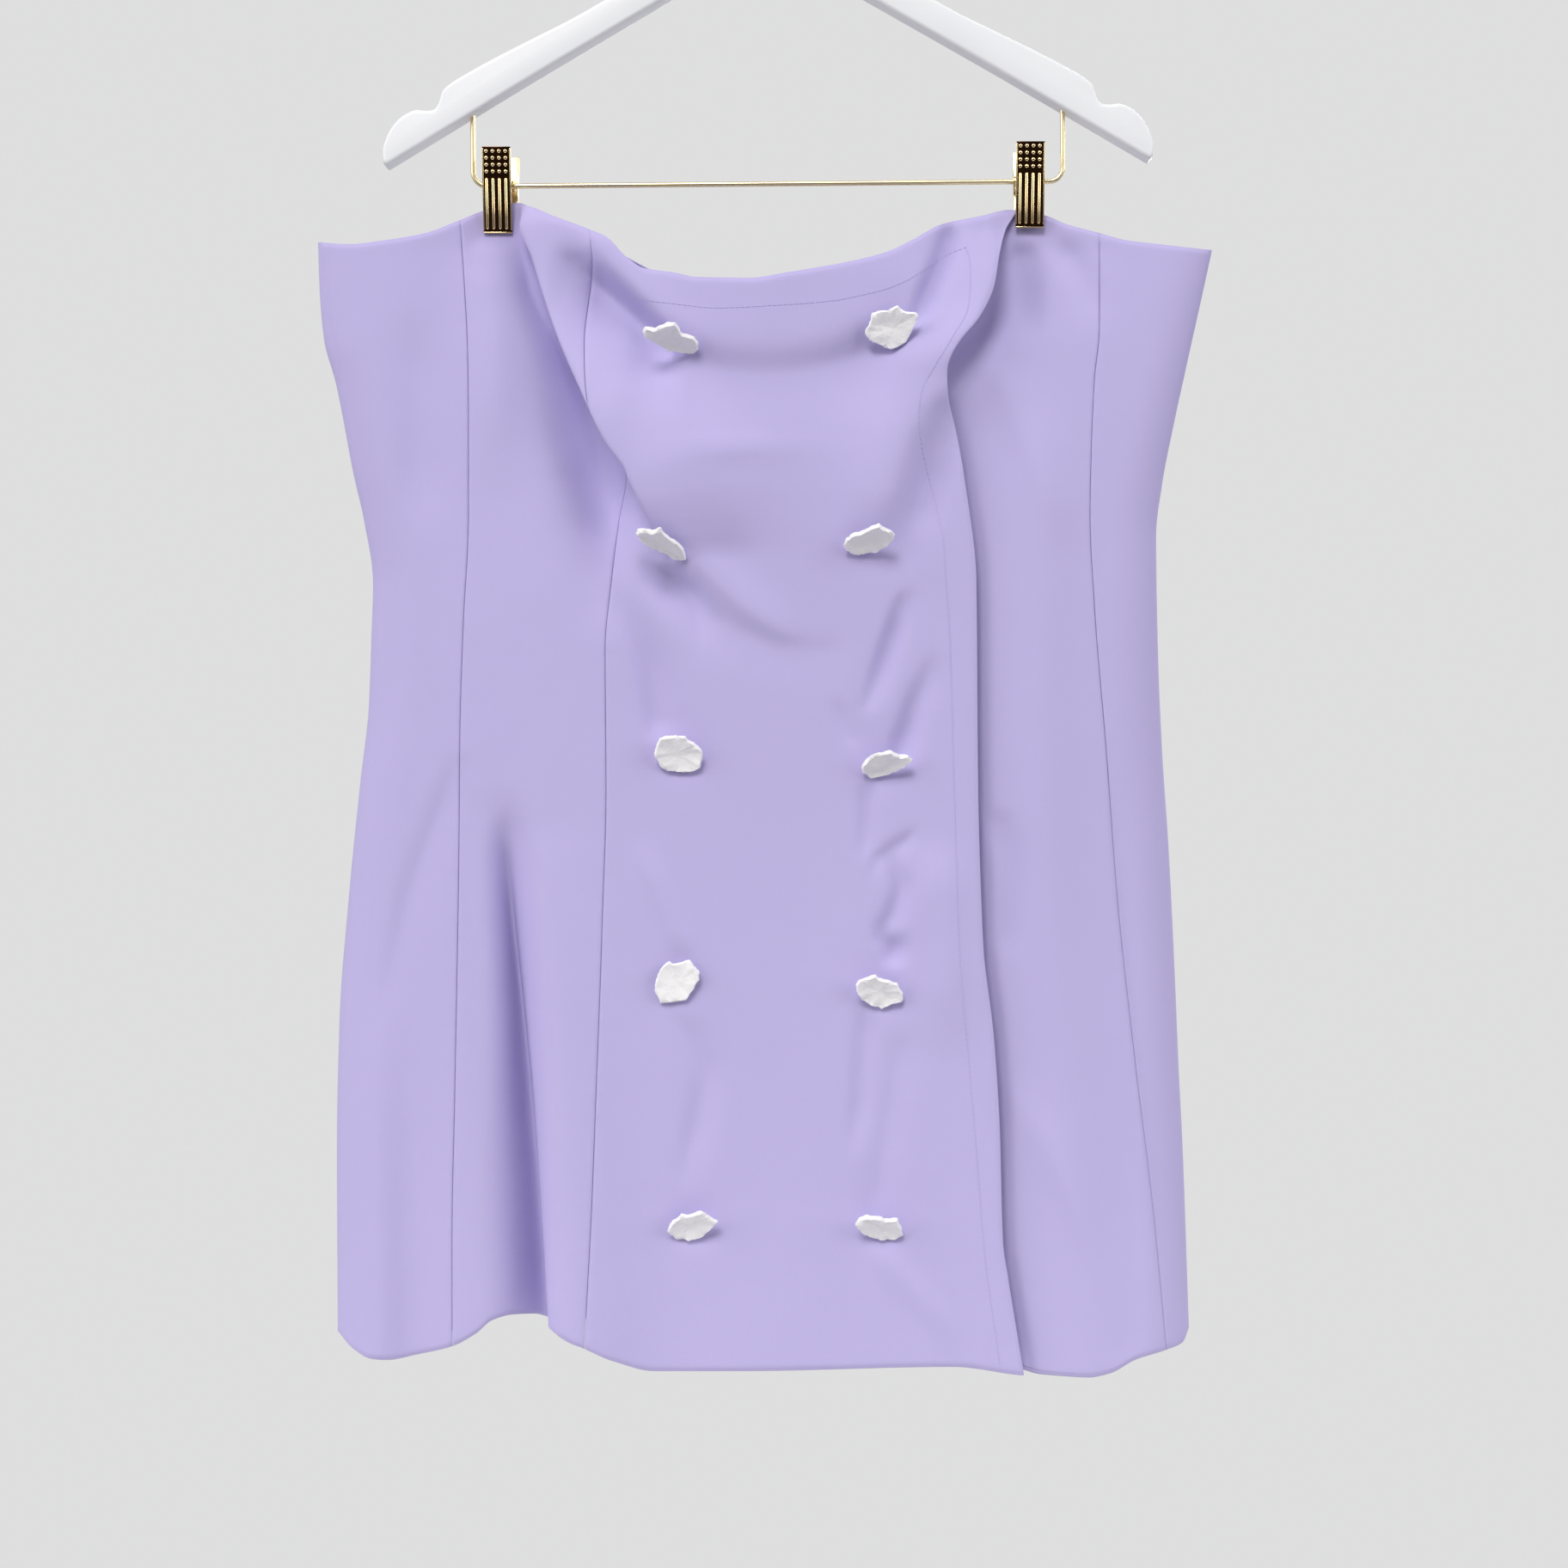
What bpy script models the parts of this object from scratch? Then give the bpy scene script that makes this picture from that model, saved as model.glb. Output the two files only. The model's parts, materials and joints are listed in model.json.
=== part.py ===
"""Strapless mini dress with a wrapped front and ten nugget buttons, held by a wooden clip hanger.

The cloth is worked out in millimetres from two measures: x runs to the viewer's right from the
hook's line, and drop runs down from the hook's inner top. Both are read on the hanger's plane from
a viewing point in front of it, so a piece that stands forward keeps its seen outline. A third
measure, forward, is how far the cloth stands out of that plane towards the viewer.
"""

import math
import random
from collections import namedtuple

import bmesh
import bpy
import numpy as np
from mathutils import Matrix, Vector
from mathutils.bvhtree import BVHTree

MM = 0.001

# Where the outlines were read from
VIEW_X = 9.5
VIEW_DROP = 578.5
VIEW_DISTANCE = 1300.0

# Cloth
WALL = 1.5
SEAM_GAP = 0.2
LAYER_GAP = 2.8
HIDDEN_GAP = 1.6
SIDE_ROUNDING = 26.0
ROWS = 28
ROW_PLACES = [(0, 0), (0.12, 0.036), (0.6, 0.5), (1, 1)]
COLUMN_CROWDING = 0.08

# Outline and seams: (drop, x), read from the top edge to the hem
OUTLINE_LEFT = [
    (263, -261.5), (292, -260.5), (320, -258), (346, -251), (400, -240.5), (424, -235),
    (462, -229.5), (494, -230.5), (534, -232), (574, -236.5), (638, -243), (716, -249),
    (788, -250.5), (897, -250),
]
OUTLINE_RIGHT = [
    (268, 258.5), (300, 251.5), (336, 243.5), (373, 235.5), (404, 229.5), (434, 226),
    (500, 227), (560, 229.5), (612, 233), (682, 236.5), (742, 239), (793, 241.5), (894, 245),
]
SEAM_A = [
    (250, -179), (286, -176.5), (326, -174.5), (366, -174), (422, -174), (486, -177),
    (550, -179), (614, -179.5), (762, -182), (841, -183.5), (906, -183.5),
]
SEAM_B = [
    (256, -101), (297, -97), (340, -95), (353, -94), (376, -86), (398, -78), (426, -84),
    (462, -91), (499, -94.5), (582, -94), (668, -96.5), (773, -100.5), (906, -106),
]
SEAM_C = [
    (258, 193), (313, 193), (344, 190), (393, 188), (422, 187.5), (474, 190), (560, 197),
    (646, 203.5), (742, 214), (828, 224.5), (908, 232),
]
WRAP_EDGE = [
    (244, 146), (250, 142), (256, 138.5), (270, 135), (288, 132), (308, 123), (320, 114),
    (330, 108.5), (338, 106.5), (353, 107), (372, 110), (400, 114.5), (460, 121.5),
    (578, 122.5), (672, 125.5), (724, 131.5), (776, 135), (845, 137), (866, 140), (921, 149),
]
UNDERLAP_EDGE = [(244, 84), (330, 62), (460, 72), (921, 92)]
BACK_LEFT = [(250, -171), (430, -152), (620, -156), (906, -166)]
BACK_RIGHT = [(250, 166), (430, 148), (620, 154), (906, 166)]

# Top edges and hems: (x, drop), read from left to right
TOP_EDGE = [
    (-261.5, 263.5), (-243, 264.5), (-225, 262.5), (-199, 258), (-179, 250.5), (-165, 245),
    (-145, 240.5), (-136, 242), (-122.5, 247.5), (-103.5, 255.5), (-93, 260.5), (-82.5, 271.5),
    (-71.5, 278.5), (-54, 281), (-42, 283.5), (-11, 284), (13, 280.5), (45, 275), (69, 269),
    (85, 261.5), (101, 253), (124.5, 248), (141, 244.5), (160.5, 246.5), (174, 252.5),
    (193, 258), (207.5, 262), (227.5, 264.5), (258.5, 268),
]
HEM = [
    (-250, 896.5), (-241, 907), (-230, 913), (-221, 913.5), (-205, 910.5), (-183.5, 905.5),
    (-169.5, 898), (-160.5, 890.5), (-148, 887), (-135.5, 886.5), (-126.5, 893), (-116, 902),
    (-106, 906.5), (-89, 914.5), (-66, 920), (-15, 920), (107.5, 917.5), (148.5, 922.5),
    (186.5, 924.5), (200, 921.5), (214, 913.5), (232, 907.5), (241.5, 903), (245, 894.5),
]
BACK_TOP = [
    (-261.5, 263.5), (-225, 262), (-211, 258.5), (-165, 246.5), (-146, 246), (-100, 263),
    (-50, 287), (0, 298), (50, 293), (100, 270), (140, 248.5), (166, 248.5), (193, 260),
    (227, 266), (258.5, 268),
]
BACK_HEM = [
    (-250, 896.5), (-230, 901), (-180, 896), (-152, 883), (-126, 883), (-80, 900), (0, 908),
    (120, 906), (200, 907), (232, 900), (245, 894.5),
]
# The left side of the back is one cut piece made as two solids, parted on this line
PARTING = [(-262, 419.8), (-150, 419.8)]
BELOW_PARTING = [(-262, 420.2), (-150, 420.2)]

# How far the cloth stands out of the hanger's plane: a row for each drop, a column for each x
DEPTH_X = [-212, -157, -80, 0, 85, 152, 212]
FRONT_DEPTH = [
    (240, 9, 4, 20, 34, 20, 5, 9),
    (262, 10, 4, 24, 36, 24, 5, 10),
    (290, 13, 8, 28, 38, 30, 10, 13),
    (330, 17, 15, 32, 40, 34, 18, 17),
    (400, 22, 24, 36, 40, 37, 27, 22),
    (480, 26, 31, 38, 40, 38, 31, 26),
    (600, 29, 35, 38, 38, 38, 34, 29),
    (925, 30, 36, 38, 38, 38, 35, 30),
]
BACK_DEPTH = [
    (240, 8, 3, 12, 22, 12, 3, 8),
    (262, 9, 3, 14, 23, 14, 3, 9),
    (300, 12, 8, 19, 25, 19, 8, 12),
    (400, 18, 18, 24, 27, 24, 18, 18),
    (600, 24, 26, 28, 28, 28, 26, 24),
    (925, 25, 27, 28, 28, 28, 27, 25),
]

# Folds. A fold that runs down has rows of (drop, x, height), one that runs across has rows of
# (x, drop, height), and a height below 0 is a trough. before and after are its widths on the
# side of smaller and of larger x or drop, and lean pushes its crest over the smaller side.
Fold = namedtuple("Fold", "runs before after lean rows")
FRONT_FOLDS = {
    "left drape": Fold("down", 12, 42, 6, [
        (241, -143, 3), (252, -142, 7), (270, -137, 12), (292, -130, 15), (316, -122, 17),
        (353, -106, 17), (373, -97, 15), (398, -82, 11), (414, -74, 6), (430, -65, 0)]),
    "beside the left drape": Fold("down", 18, 11, 0, [
        (262, -152, 0), (286, -147, -4), (334, -130, -7), (360, -118, -8), (393, -112, -6),
        (434, -105, -3), (470, -101, 0)]),
    "swag under the top buttons": Fold("across", 14, 24, 0, [
        (-90, 300, 0), (-58, 327, -5), (-35, 338, -8), (5, 345, -8), (37, 335, -5), (56, 327, 0)]),
    "right valley": Fold("down", 14, 16, 0, [
        (256, 102, 0), (275, 96, -6), (292, 86, -7), (302, 81, -4), (316, 75, 0)]),
    "second swag": Fold("across", 10, 18, 0, [
        (-70, 440, 0), (-56, 458, -7), (-38, 479, -7), (-12, 491, -4), (11, 499, -3), (40, 500, 0)]),
    "ridge over the second swag": Fold("across", 12, 10, 0, [
        (-54, 438, 0), (-38, 452, 4), (-15, 472, 4), (14, 488, 0)]),
    "crease over the third button": Fold("down", 6, 12, 0, [
        (466, 80, 0), (494, 71, -4), (510, 66, -4), (532, 58, 0)]),
    "crease beside the edge": Fold("down", 8, 10, 0, [
        (496, 94, 0), (520, 89, -4), (545, 82, -4), (566, 76, 0)]),
    "below the fourth left button": Fold("down", 12, 12, 0, [
        (700, -64, 0), (740, -46, -4), (776, -45, -4), (815, -52, 0)]),
    "ridge along the edge": Fold("down", 16, 14, 0, [
        (610, 97, 0), (642, 99, 4), (694, 103, 4), (740, 104, 0)]),
    "skirt trough": Fold("down", 24, 16, 0, [
        (585, -158, 0), (615, -154, -4), (662, -152, -10), (722, -150, -17), (770, -148, -23),
        (841, -145, -28), (905, -143, -32)]),
    "skirt ridge": Fold("down", 12, 32, 2, [
        (630, -146, 0), (662, -142, 3), (722, -136, 7), (770, -132, 9), (841, -129, 11),
        (905, -126, 12)]),
    "side crease": Fold("down", 8, 10, 0, [
        (562, -183, 0), (592, -186, -4), (610, -194, -3), (626, -199, 0)]),
    "side ridge": Fold("down", 16, 16, 0, [
        (690, -225, 0), (770, -226, 4), (915, -228, 5)]),
    "side trough": Fold("down", 13, 13, 0, [
        (690, -204, 0), (780, -206, -5), (915, -204, -6)]),
    "clip fan": Fold("down", 8, 8, 0, [
        (262, 170, 0), (278, 178, -4), (296, 186, -2), (314, 190, 0)]),
}
BACK_FOLDS = {
    "left drape": Fold("down", 16, 30, 0, [
        (256, -138, 0), (290, -122, 7), (340, -98, 8), (400, -70, 5), (450, -52, 0)]),
    "right drape": Fold("down", 30, 16, 0, [
        (256, 136, 0), (292, 120, 6), (350, 96, 8), (410, 66, 4), (456, 50, 0)]),
    "left skirt": Fold("down", 24, 20, 0, [
        (560, -92, 0), (680, -96, -5), (800, -98, -8), (905, -100, -9)]),
    "right skirt": Fold("down", 22, 26, 0, [
        (600, 84, 0), (720, 88, -5), (830, 92, -7), (905, 94, -8)]),
    "middle": Fold("down", 30, 30, 0, [
        (520, 6, 0), (640, 8, 4), (905, 10, 6)]),
}

# Lift of the wrapped edge, and hollow of the cloth behind it: (drop, height)
EDGE_LIFT = [
    (244, 0), (254, 2), (266, 8), (285, 13), (308, 15), (326, 12), (345, 6), (370, 3),
    (450, 2.5), (925, 2.5),
]
EDGE_HOLLOW = [(250, 0), (275, 5), (306, 9), (335, 6), (380, 2), (470, 0), (925, 0)]
LIFT_WIDTH = 22.0
HOLLOW_WIDTH = 30.0

# Clips: x of the middle, how far the gripped cloth stands forward and back, and how far the rear
# jaw sits to the right of the front one
Clip = namedtuple("Clip", "name x front_grip back_grip rear_shift")
CLIPS = [Clip("left", -156.5, 1.9, 1.7, 2.5), Clip("right", 151.75, 3.9, 1.7, 0.0)]
JAW_WIDTH = 16.5
JAW_THICKNESS = 1.2
JAW_ABOVE = 22.5
JAW_BELOW = 28.0
JAW_SPREAD = 10.6
JAW_CLEARANCE = 0.3
PINCH_MARGIN = 9.0
PINCH_FADE = 10.0
FLANGE_ABOVE = 9.0
FLANGE_BELOW = 5.0
RIBS = 4
RIB_PITCH = 3.6
RIB_SIZE = (1.7, 0.7, 29.0)
BARREL_LENGTH = 18.0
BARREL_RADIUS = 3.0
UNDERLAP_AT_CLIP = 2.2

# Bar and hanger
BAR_RADIUS = 1.5
BAR_DROP = 229.5
BAR_HALF = 171.5
BAR_BEND = 5.5
BAR_TOP = 190.3
ROLL = math.radians(0.5)
ROLL_DROP = 190.0
HANGER_THICKNESS = 13.0
HANGER_EDGE = 2.0
HANGER_UPPER = [
    (0, 60), (6, 60.4), (14, 66), (24, 79), (40, 92.2), (92.5, 122.5), (113.5, 134.2),
    (132, 143.4), (154.5, 154.6), (172.5, 164.2), (185, 171.8), (188.6, 175.5), (190.6, 182),
    (193.5, 186), (198, 186.6), (203, 186), (210, 188.5), (216, 193.5), (221, 201.5),
    (223.4, 210), (223.3, 216), (221, 218.5),
]
HANGER_LOWER = [(171.5, 189), (126, 162), (58, 122.5), (30, 106), (14, 98.5), (5, 96.3)]

# Hook
HOOK_WIRE = 1.75
HOOK_INNER = 19.0
HOOK_START = 205.0
HOOK_END = -50.0
HOOK_STEM = [(8.5, 40.5), (3.2, 45.5), (0.6, 50.5), (0, 55.5), (0, 59.65)]

# Buttons: x, drop, width, height of the nugget, lean of its face down, turn in the seen plane.
# Their rings run from the back to the dished face: share of the outline, share of the thickness.
Button = namedtuple("Button", "name x drop width height droop turn")
BUTTONS = [
    Button("button_1_left", -56, 320, 31, 26, 52, -9),
    Button("button_1_right", 72, 314, 31, 27, 26, 12),
    Button("button_2_left", -61.5, 440, 31, 26, 54, -22),
    Button("button_2_right", 59.5, 436.5, 30, 26, 50, 10),
    Button("button_3_left", -51.5, 561, 28, 25, 30, 0),
    Button("button_3_right", 69, 567, 29, 26, 50, 13),
    Button("button_4_left", -52.5, 693.5, 27, 26, 8, 20),
    Button("button_4_right", 65, 699, 28, 25, 32, -11),
    Button("button_5_left", -43.5, 835, 30, 25, 36, 11),
    Button("button_5_right", 65.5, 836.5, 28, 25, 44, -11),
]
BUTTON_SIDES = 9
BUTTON_HALF_THICKNESS = 2.6
BUTTON_RINGS = [(0.60, 0.9), (1.0, 0.1), (0.88, -0.9), (0.62, -0.45)]
SHANK_RADIUS = 1.6
SHANK_RISE = 3.0
SHANK_START = 0.35
BUTTON_CLEARANCE = 0.5

LILAC = (0.50, 0.43, 0.74)
CHALK = (0.75, 0.73, 0.74)
GOLD = (0.83, 0.58, 0.20)
PAINT = (0.80, 0.82, 0.86)


def smooth(knots, values, at):
    """Curve through the rows without overshoot, level past both ends. Values may be rows, too."""
    knots = np.asarray(knots, float)
    values = np.asarray(values, float)
    at = np.asarray(at, float)
    if values.ndim == 1:
        values = np.repeat(values[:, None], at.size, axis=1)
    step = np.diff(knots)[:, None]
    slope = np.diff(values, axis=0) / step
    tangent = np.zeros_like(values)
    product = slope[:-1] * slope[1:]
    total = slope[:-1] + slope[1:]
    rising = product > 0
    tangent[1:-1][rising] = 2 * product[rising] / total[rising]
    tangent[0] = slope[0]
    tangent[-1] = slope[-1]
    i = np.clip(np.searchsorted(knots, at, side="right") - 1, 0, len(knots) - 2)
    column = np.arange(at.size)
    span = step[i, 0]
    t = np.clip((at - knots[i]) / span, 0, 1)
    rise = values[i + 1, column] - values[i, column]
    start = tangent[i, column] * span
    end = tangent[i + 1, column] * span
    bend = 3 * rise - 2 * start - end
    twist = start + end - 2 * rise
    return values[i, column] + t * (start + t * (bend + t * twist))


def read(rows, at, column=1):
    """Value of one column of a table at each place of its first column."""
    return smooth([row[0] for row in rows], [row[column] for row in rows], at)


def ramp(value):
    """Smooth step from 0 to 1."""
    t = np.clip(value, 0, 1)
    return t * t * (3 - 2 * t)


def base_depth(table, x, drop):
    """Depth table read at each point, rounded to 0 where the cloth turns round the sides."""
    columns = np.array([read(table, drop, 1 + k) for k in range(len(DEPTH_X))])
    left = read(OUTLINE_LEFT, drop)
    right = read(OUTLINE_RIGHT, drop)
    inside = np.minimum(x - left, right - x)
    q = np.clip(1 - inside / SIDE_ROUNDING, 0, 1)
    return smooth(DEPTH_X, columns, x) * np.sqrt(1 - q * q)


def fold_move(fold, x, drop):
    """Forward, sideways and downward move of the cloth at one fold."""
    along, across = (drop, x) if fold.runs == "down" else (x, drop)
    line = read(fold.rows, along)
    slope = (read(fold.rows, along + 1) - read(fold.rows, along - 1)) / 2
    height = read(fold.rows, along, 2)
    cosine = 1 / np.sqrt(1 + slope * slope)
    share = height / max(abs(row[2]) for row in fold.rows)
    distance = (across - line) * cosine - fold.lean * share
    forward = height * np.exp(-((distance / np.where(distance < 0, fold.before, fold.after)) ** 2))
    reach = np.where(distance < 0, fold.before, min(fold.after, 16))
    push = -fold.lean * share * np.exp(-((distance / reach) ** 2)) * cosine
    if fold.runs == "down":
        return forward, push, -push * slope
    return forward, -push * slope, push


def pinch(clip, x, drop):
    """1 where a clip holds the cloth flat, fading to 0 around it."""
    beside = np.abs(x - clip.x) - JAW_WIDTH / 2 - PINCH_MARGIN
    below = drop - (BAR_DROP + JAW_BELOW) - PINCH_MARGIN
    outside = np.hypot(np.maximum(beside, 0), np.maximum(below, 0))
    return 1 - ramp(outside / PINCH_FADE)


def place(x, drop, forward):
    """Points in millimetres of what is seen at x and drop and stands forward of the hanger's plane."""
    share = forward / VIEW_DISTANCE
    sideways = x + (VIEW_X - x) * share
    up = -(drop + (VIEW_DROP - drop) * share)
    return np.stack([sideways, -forward, up], axis=-1)


def cloth(x, drop, folds, table, grips):
    """Outer face of the cloth with its folds, flat where the clips hold it."""
    forward = SEAM_GAP + base_depth(table, x, drop)
    sideways = np.zeros_like(x)
    down = np.zeros_like(x)
    for fold in folds.values():
        moves = fold_move(fold, x, drop)
        forward = forward + moves[0]
        sideways = sideways + moves[1]
        down = down + moves[2]
    edge = ramp(np.minimum(x - read(OUTLINE_LEFT, drop), read(OUTLINE_RIGHT, drop) - x) / 12)
    forward = np.maximum(forward, SEAM_GAP + 1.5 * edge)
    for clip, grip in zip(CLIPS, grips):
        held = pinch(clip, x, drop)
        forward = forward * (1 - held) + grip * held
        sideways = sideways * (1 - held)
        down = down * (1 - held)
    return x + sideways, drop + down, forward


def front(x, drop):
    """Points of the front's outer face."""
    return place(*cloth(x, drop, FRONT_FOLDS, FRONT_DEPTH, [clip.front_grip for clip in CLIPS]))


def back(x, drop):
    """Points of the back's outer face."""
    x, drop, behind = cloth(x, drop, BACK_FOLDS, BACK_DEPTH, [clip.back_grip for clip in CLIPS])
    return place(x, drop, -behind)


def overlap(x, drop):
    """The wrapped panel, whose edge flares forward under the right clip."""
    x, drop, forward = cloth(x, drop, FRONT_FOLDS, FRONT_DEPTH, [clip.front_grip for clip in CLIPS])
    inside = np.maximum(read(WRAP_EDGE, drop) - x, 0)
    lift = read(EDGE_LIFT, drop) * np.exp(-((inside / LIFT_WIDTH) ** 2))
    return place(x, drop, forward + lift)


def underlap_depth(x, drop):
    """How far the cloth under the wrapped edge lies behind the front's face."""
    edge = read(WRAP_EDGE, drop)
    outside = ramp((x - edge) / (read(SEAM_C, drop) - edge))
    hollow = read(EDGE_HOLLOW, drop) * np.exp(-(((x - edge) / HOLLOW_WIDTH) ** 2))
    hidden = HIDDEN_GAP * ramp((edge - x) / HOLLOW_WIDTH)
    depth = (LAYER_GAP + hidden + hollow) * (1 - outside)
    held = pinch(CLIPS[1], x, drop)
    return depth * (1 - held) + UNDERLAP_AT_CLIP * held


Panel = namedtuple("Panel", "name face facing left right open_side columns top hem crowded")
PANELS = [
    Panel("side_front_left", front, -1, OUTLINE_LEFT, SEAM_A, "left", 8, TOP_EDGE, HEM, False),
    Panel("front_left", front, -1, SEAM_A, SEAM_B, None, 13, TOP_EDGE, HEM, False),
    Panel("front_overlap", overlap, -1, SEAM_B, WRAP_EDGE, None, 20, TOP_EDGE, HEM, True),
    Panel("front_underlap", front, -1, UNDERLAP_EDGE, SEAM_C, None, 10, TOP_EDGE, HEM, False),
    Panel("side_front_right", front, -1, SEAM_C, OUTLINE_RIGHT, "right", 7, TOP_EDGE, HEM, False),
    Panel("side_back_left_upper", back, 1, OUTLINE_LEFT, BACK_LEFT, "left", 6, BACK_TOP, PARTING, False),
    Panel("side_back_left_lower", back, 1, OUTLINE_LEFT, BACK_LEFT, "left", 6, BELOW_PARTING, BACK_HEM, False),
    Panel("back", back, 1, BACK_LEFT, BACK_RIGHT, None, 18, BACK_TOP, BACK_HEM, True),
    Panel("side_back_right", back, 1, BACK_RIGHT, OUTLINE_RIGHT, "right", 6, BACK_TOP, BACK_HEM, False),
]


def spread(panel, a):
    """Share of the panel's width at column measure a: bunched at an open side, where the cloth turns."""
    if panel.open_side == "left":
        return 1 - np.cos(a * math.pi / 2)
    if panel.open_side == "right":
        return np.sin(a * math.pi / 2)
    if panel.crowded:
        return a - COLUMN_CROWDING * np.sin(2 * math.pi * a)
    return a


def panel_points(panel, a, v):
    """Points of a panel's outer face, a across and v down, both from 0 to 1."""
    share = spread(panel, a)
    gap_left = 0 if panel.open_side == "left" else SEAM_GAP
    gap_right = 0 if panel.open_side == "right" else SEAM_GAP
    x = share * 0
    for _ in range(8):
        drop = read(panel.top, x) * (1 - v) + read(panel.hem, x) * v
        left = read(panel.left, drop) + gap_left
        right = read(panel.right, drop) - gap_right
        x = left * (1 - share) + right * share
    return x, drop


def normals(panel, a, v):
    """Unit normals out of the garment, from small steps across and down that stay on the panel."""
    step = 0.0004
    steps = []
    for da, dv in ((step, 0), (0, step)):
        low = panel.face(*panel_points(panel, np.clip(a - da, 0, 1), np.clip(v - dv, 0, 1)))
        high = panel.face(*panel_points(panel, np.clip(a + da, 0, 1), np.clip(v + dv, 0, 1)))
        steps.append(high - low)
    normal = np.cross(steps[0], steps[1]) * panel.facing
    return normal / np.linalg.norm(normal, axis=1)[:, None]


def material(name, color, roughness, metallic):
    made = bpy.data.materials.new(name)
    made.use_nodes = True
    shader = made.node_tree.nodes["Principled BSDF"]
    shader.inputs["Base Color"].default_value = (*color, 1)
    shader.inputs["Roughness"].default_value = roughness
    shader.inputs["Metallic"].default_value = metallic
    made.diffuse_color = (*color, 1)
    return made


def collection(name):
    made = bpy.data.collections.new(name)
    bpy.context.scene.collection.children.link(made)
    return made


def add_object(name, data, into, finish):
    made = bpy.data.objects.new(name, data)
    into.objects.link(made)
    data.materials.append(finish)
    return made


def mesh_object(name, shape, into, finish):
    """An object from a bmesh, which is freed."""
    mesh = bpy.data.meshes.new(name)
    bmesh.ops.recalc_face_normals(shape, faces=shape.faces)
    shape.to_mesh(mesh)
    shape.free()
    return add_object(name, mesh, into, finish)


def panel_wall(panel, into, finish):
    """One cloth panel as a closed wall: an outer face, an inner face behind it, and the rim."""
    across = np.arange(panel.columns + 1) / panel.columns
    down = read(ROW_PLACES, np.arange(ROWS + 1) / ROWS)
    v, a = (grid.ravel() for grid in np.meshgrid(down, across, indexing="ij"))
    x, drop = panel_points(panel, a, v)
    outer = panel.face(x, drop)
    normal = normals(panel, a, v)
    if panel.name == "front_underlap":
        outer = outer - normal * underlap_depth(x, drop)[:, None]
    inner = outer - normal * WALL
    shape = bmesh.new()
    layers = [[shape.verts.new(Vector(point) * MM) for point in layer] for layer in (outer, inner)]
    width = panel.columns + 1
    for row in range(ROWS):
        for column in range(panel.columns):
            k = row * width + column
            for corners in ((k, k + 1, k + width + 1), (k, k + width + 1, k + width)):
                shape.faces.new([layers[0][c] for c in corners])
                shape.faces.new([layers[1][c] for c in reversed(corners)])
    last = ROWS * width
    rim = list(range(width))
    rim += [row * width + width - 1 for row in range(1, ROWS + 1)]
    rim += [last + column for column in range(width - 2, -1, -1)]
    rim += [row * width for row in range(ROWS - 1, 0, -1)]
    for here, there in zip(rim, rim[1:] + rim[:1]):
        shape.faces.new([layers[0][here], layers[1][here], layers[1][there], layers[0][there]])
    made = mesh_object(panel.name, shape, into, finish)
    made.data.shade_smooth()
    made.data.set_sharp_from_angle(angle=math.radians(50))
    return made


def nugget_rings(button):
    """Points of the nugget's rings about its centre, from the back to the dished face, and that face's middle."""
    chance = random.Random(button.name)
    turned = Matrix.Rotation(-math.radians(button.turn), 4, "Y")
    turned = turned @ Matrix.Rotation(math.radians(button.droop), 4, "X")
    outline = [1 + chance.uniform(-0.11, 0.07) for _ in range(BUTTON_SIDES)]
    thick = BUTTON_HALF_THICKNESS
    rings = []
    for share, depth in BUTTON_RINGS:
        ring = []
        for k, size in enumerate(outline):
            angle = 2 * math.pi * k / BUTTON_SIDES
            across = math.cos(angle) * share * size * button.width / 2
            up = math.sin(angle) * share * size * button.height / 2
            behind = depth * thick + chance.uniform(-0.35, 0.35)
            ring.append(turned @ Vector((across, behind, up)))
        rings.append(ring)
    neck = turned @ Vector((0, 0.9 * thick + 0.8, 0))
    angles = [2 * math.pi * k / BUTTON_SIDES for k in range(BUTTON_SIDES)]
    circle = [Vector((math.cos(t), 0, math.sin(t))) * SHANK_RADIUS for t in angles]
    rings.insert(0, [neck + turned @ point for point in circle])
    return circle, rings, turned @ Vector((0, -0.35 * thick, 0))


def cloth_forward(tree, x, z):
    """How far the cloth's face stands forward at one place of the front view."""
    found = tree.ray_cast(Vector((x, -VIEW_DISTANCE, z)) * MM, Vector((0, 1, 0)))
    return -found[0].y / MM


def button_nugget(button, tree, into, finish):
    """An irregular nugget with a raised rim, hanging from a thread shank that starts on the cloth."""
    circle, rings, dish = nugget_rings(button)
    forward = 0.0
    for _ in range(2):
        centre = Vector(place(float(button.x), float(button.drop), forward))
        stand = (cloth_forward(tree, centre.x + p.x, centre.z + p.z) + p.y for ring in rings for p in ring)
        forward = max(stand) + BUTTON_CLEARANCE
    centre = Vector(place(float(button.x), float(button.drop), forward))
    start = Vector((centre.x, 0, centre.z + SHANK_RISE))
    start.y = -SHANK_START - max(cloth_forward(tree, start.x + p.x, start.z + p.z) for p in circle)
    shape = bmesh.new()
    loops = [[shape.verts.new((start + point) * MM) for point in circle]]
    loops += [[shape.verts.new((centre + point) * MM) for point in ring] for ring in rings]
    for one, other in zip(loops, loops[1:]):
        for k in range(BUTTON_SIDES):
            following = (k + 1) % BUTTON_SIDES
            shape.faces.new([one[k], one[following], other[following], other[k]])
    shape.faces.new(loops[0])
    middle = shape.verts.new((centre + dish) * MM)
    for k in range(BUTTON_SIDES):
        shape.faces.new([loops[-1][k], loops[-1][(k + 1) % BUTTON_SIDES], middle])
    return mesh_object(button.name, shape, into, finish)


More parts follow.
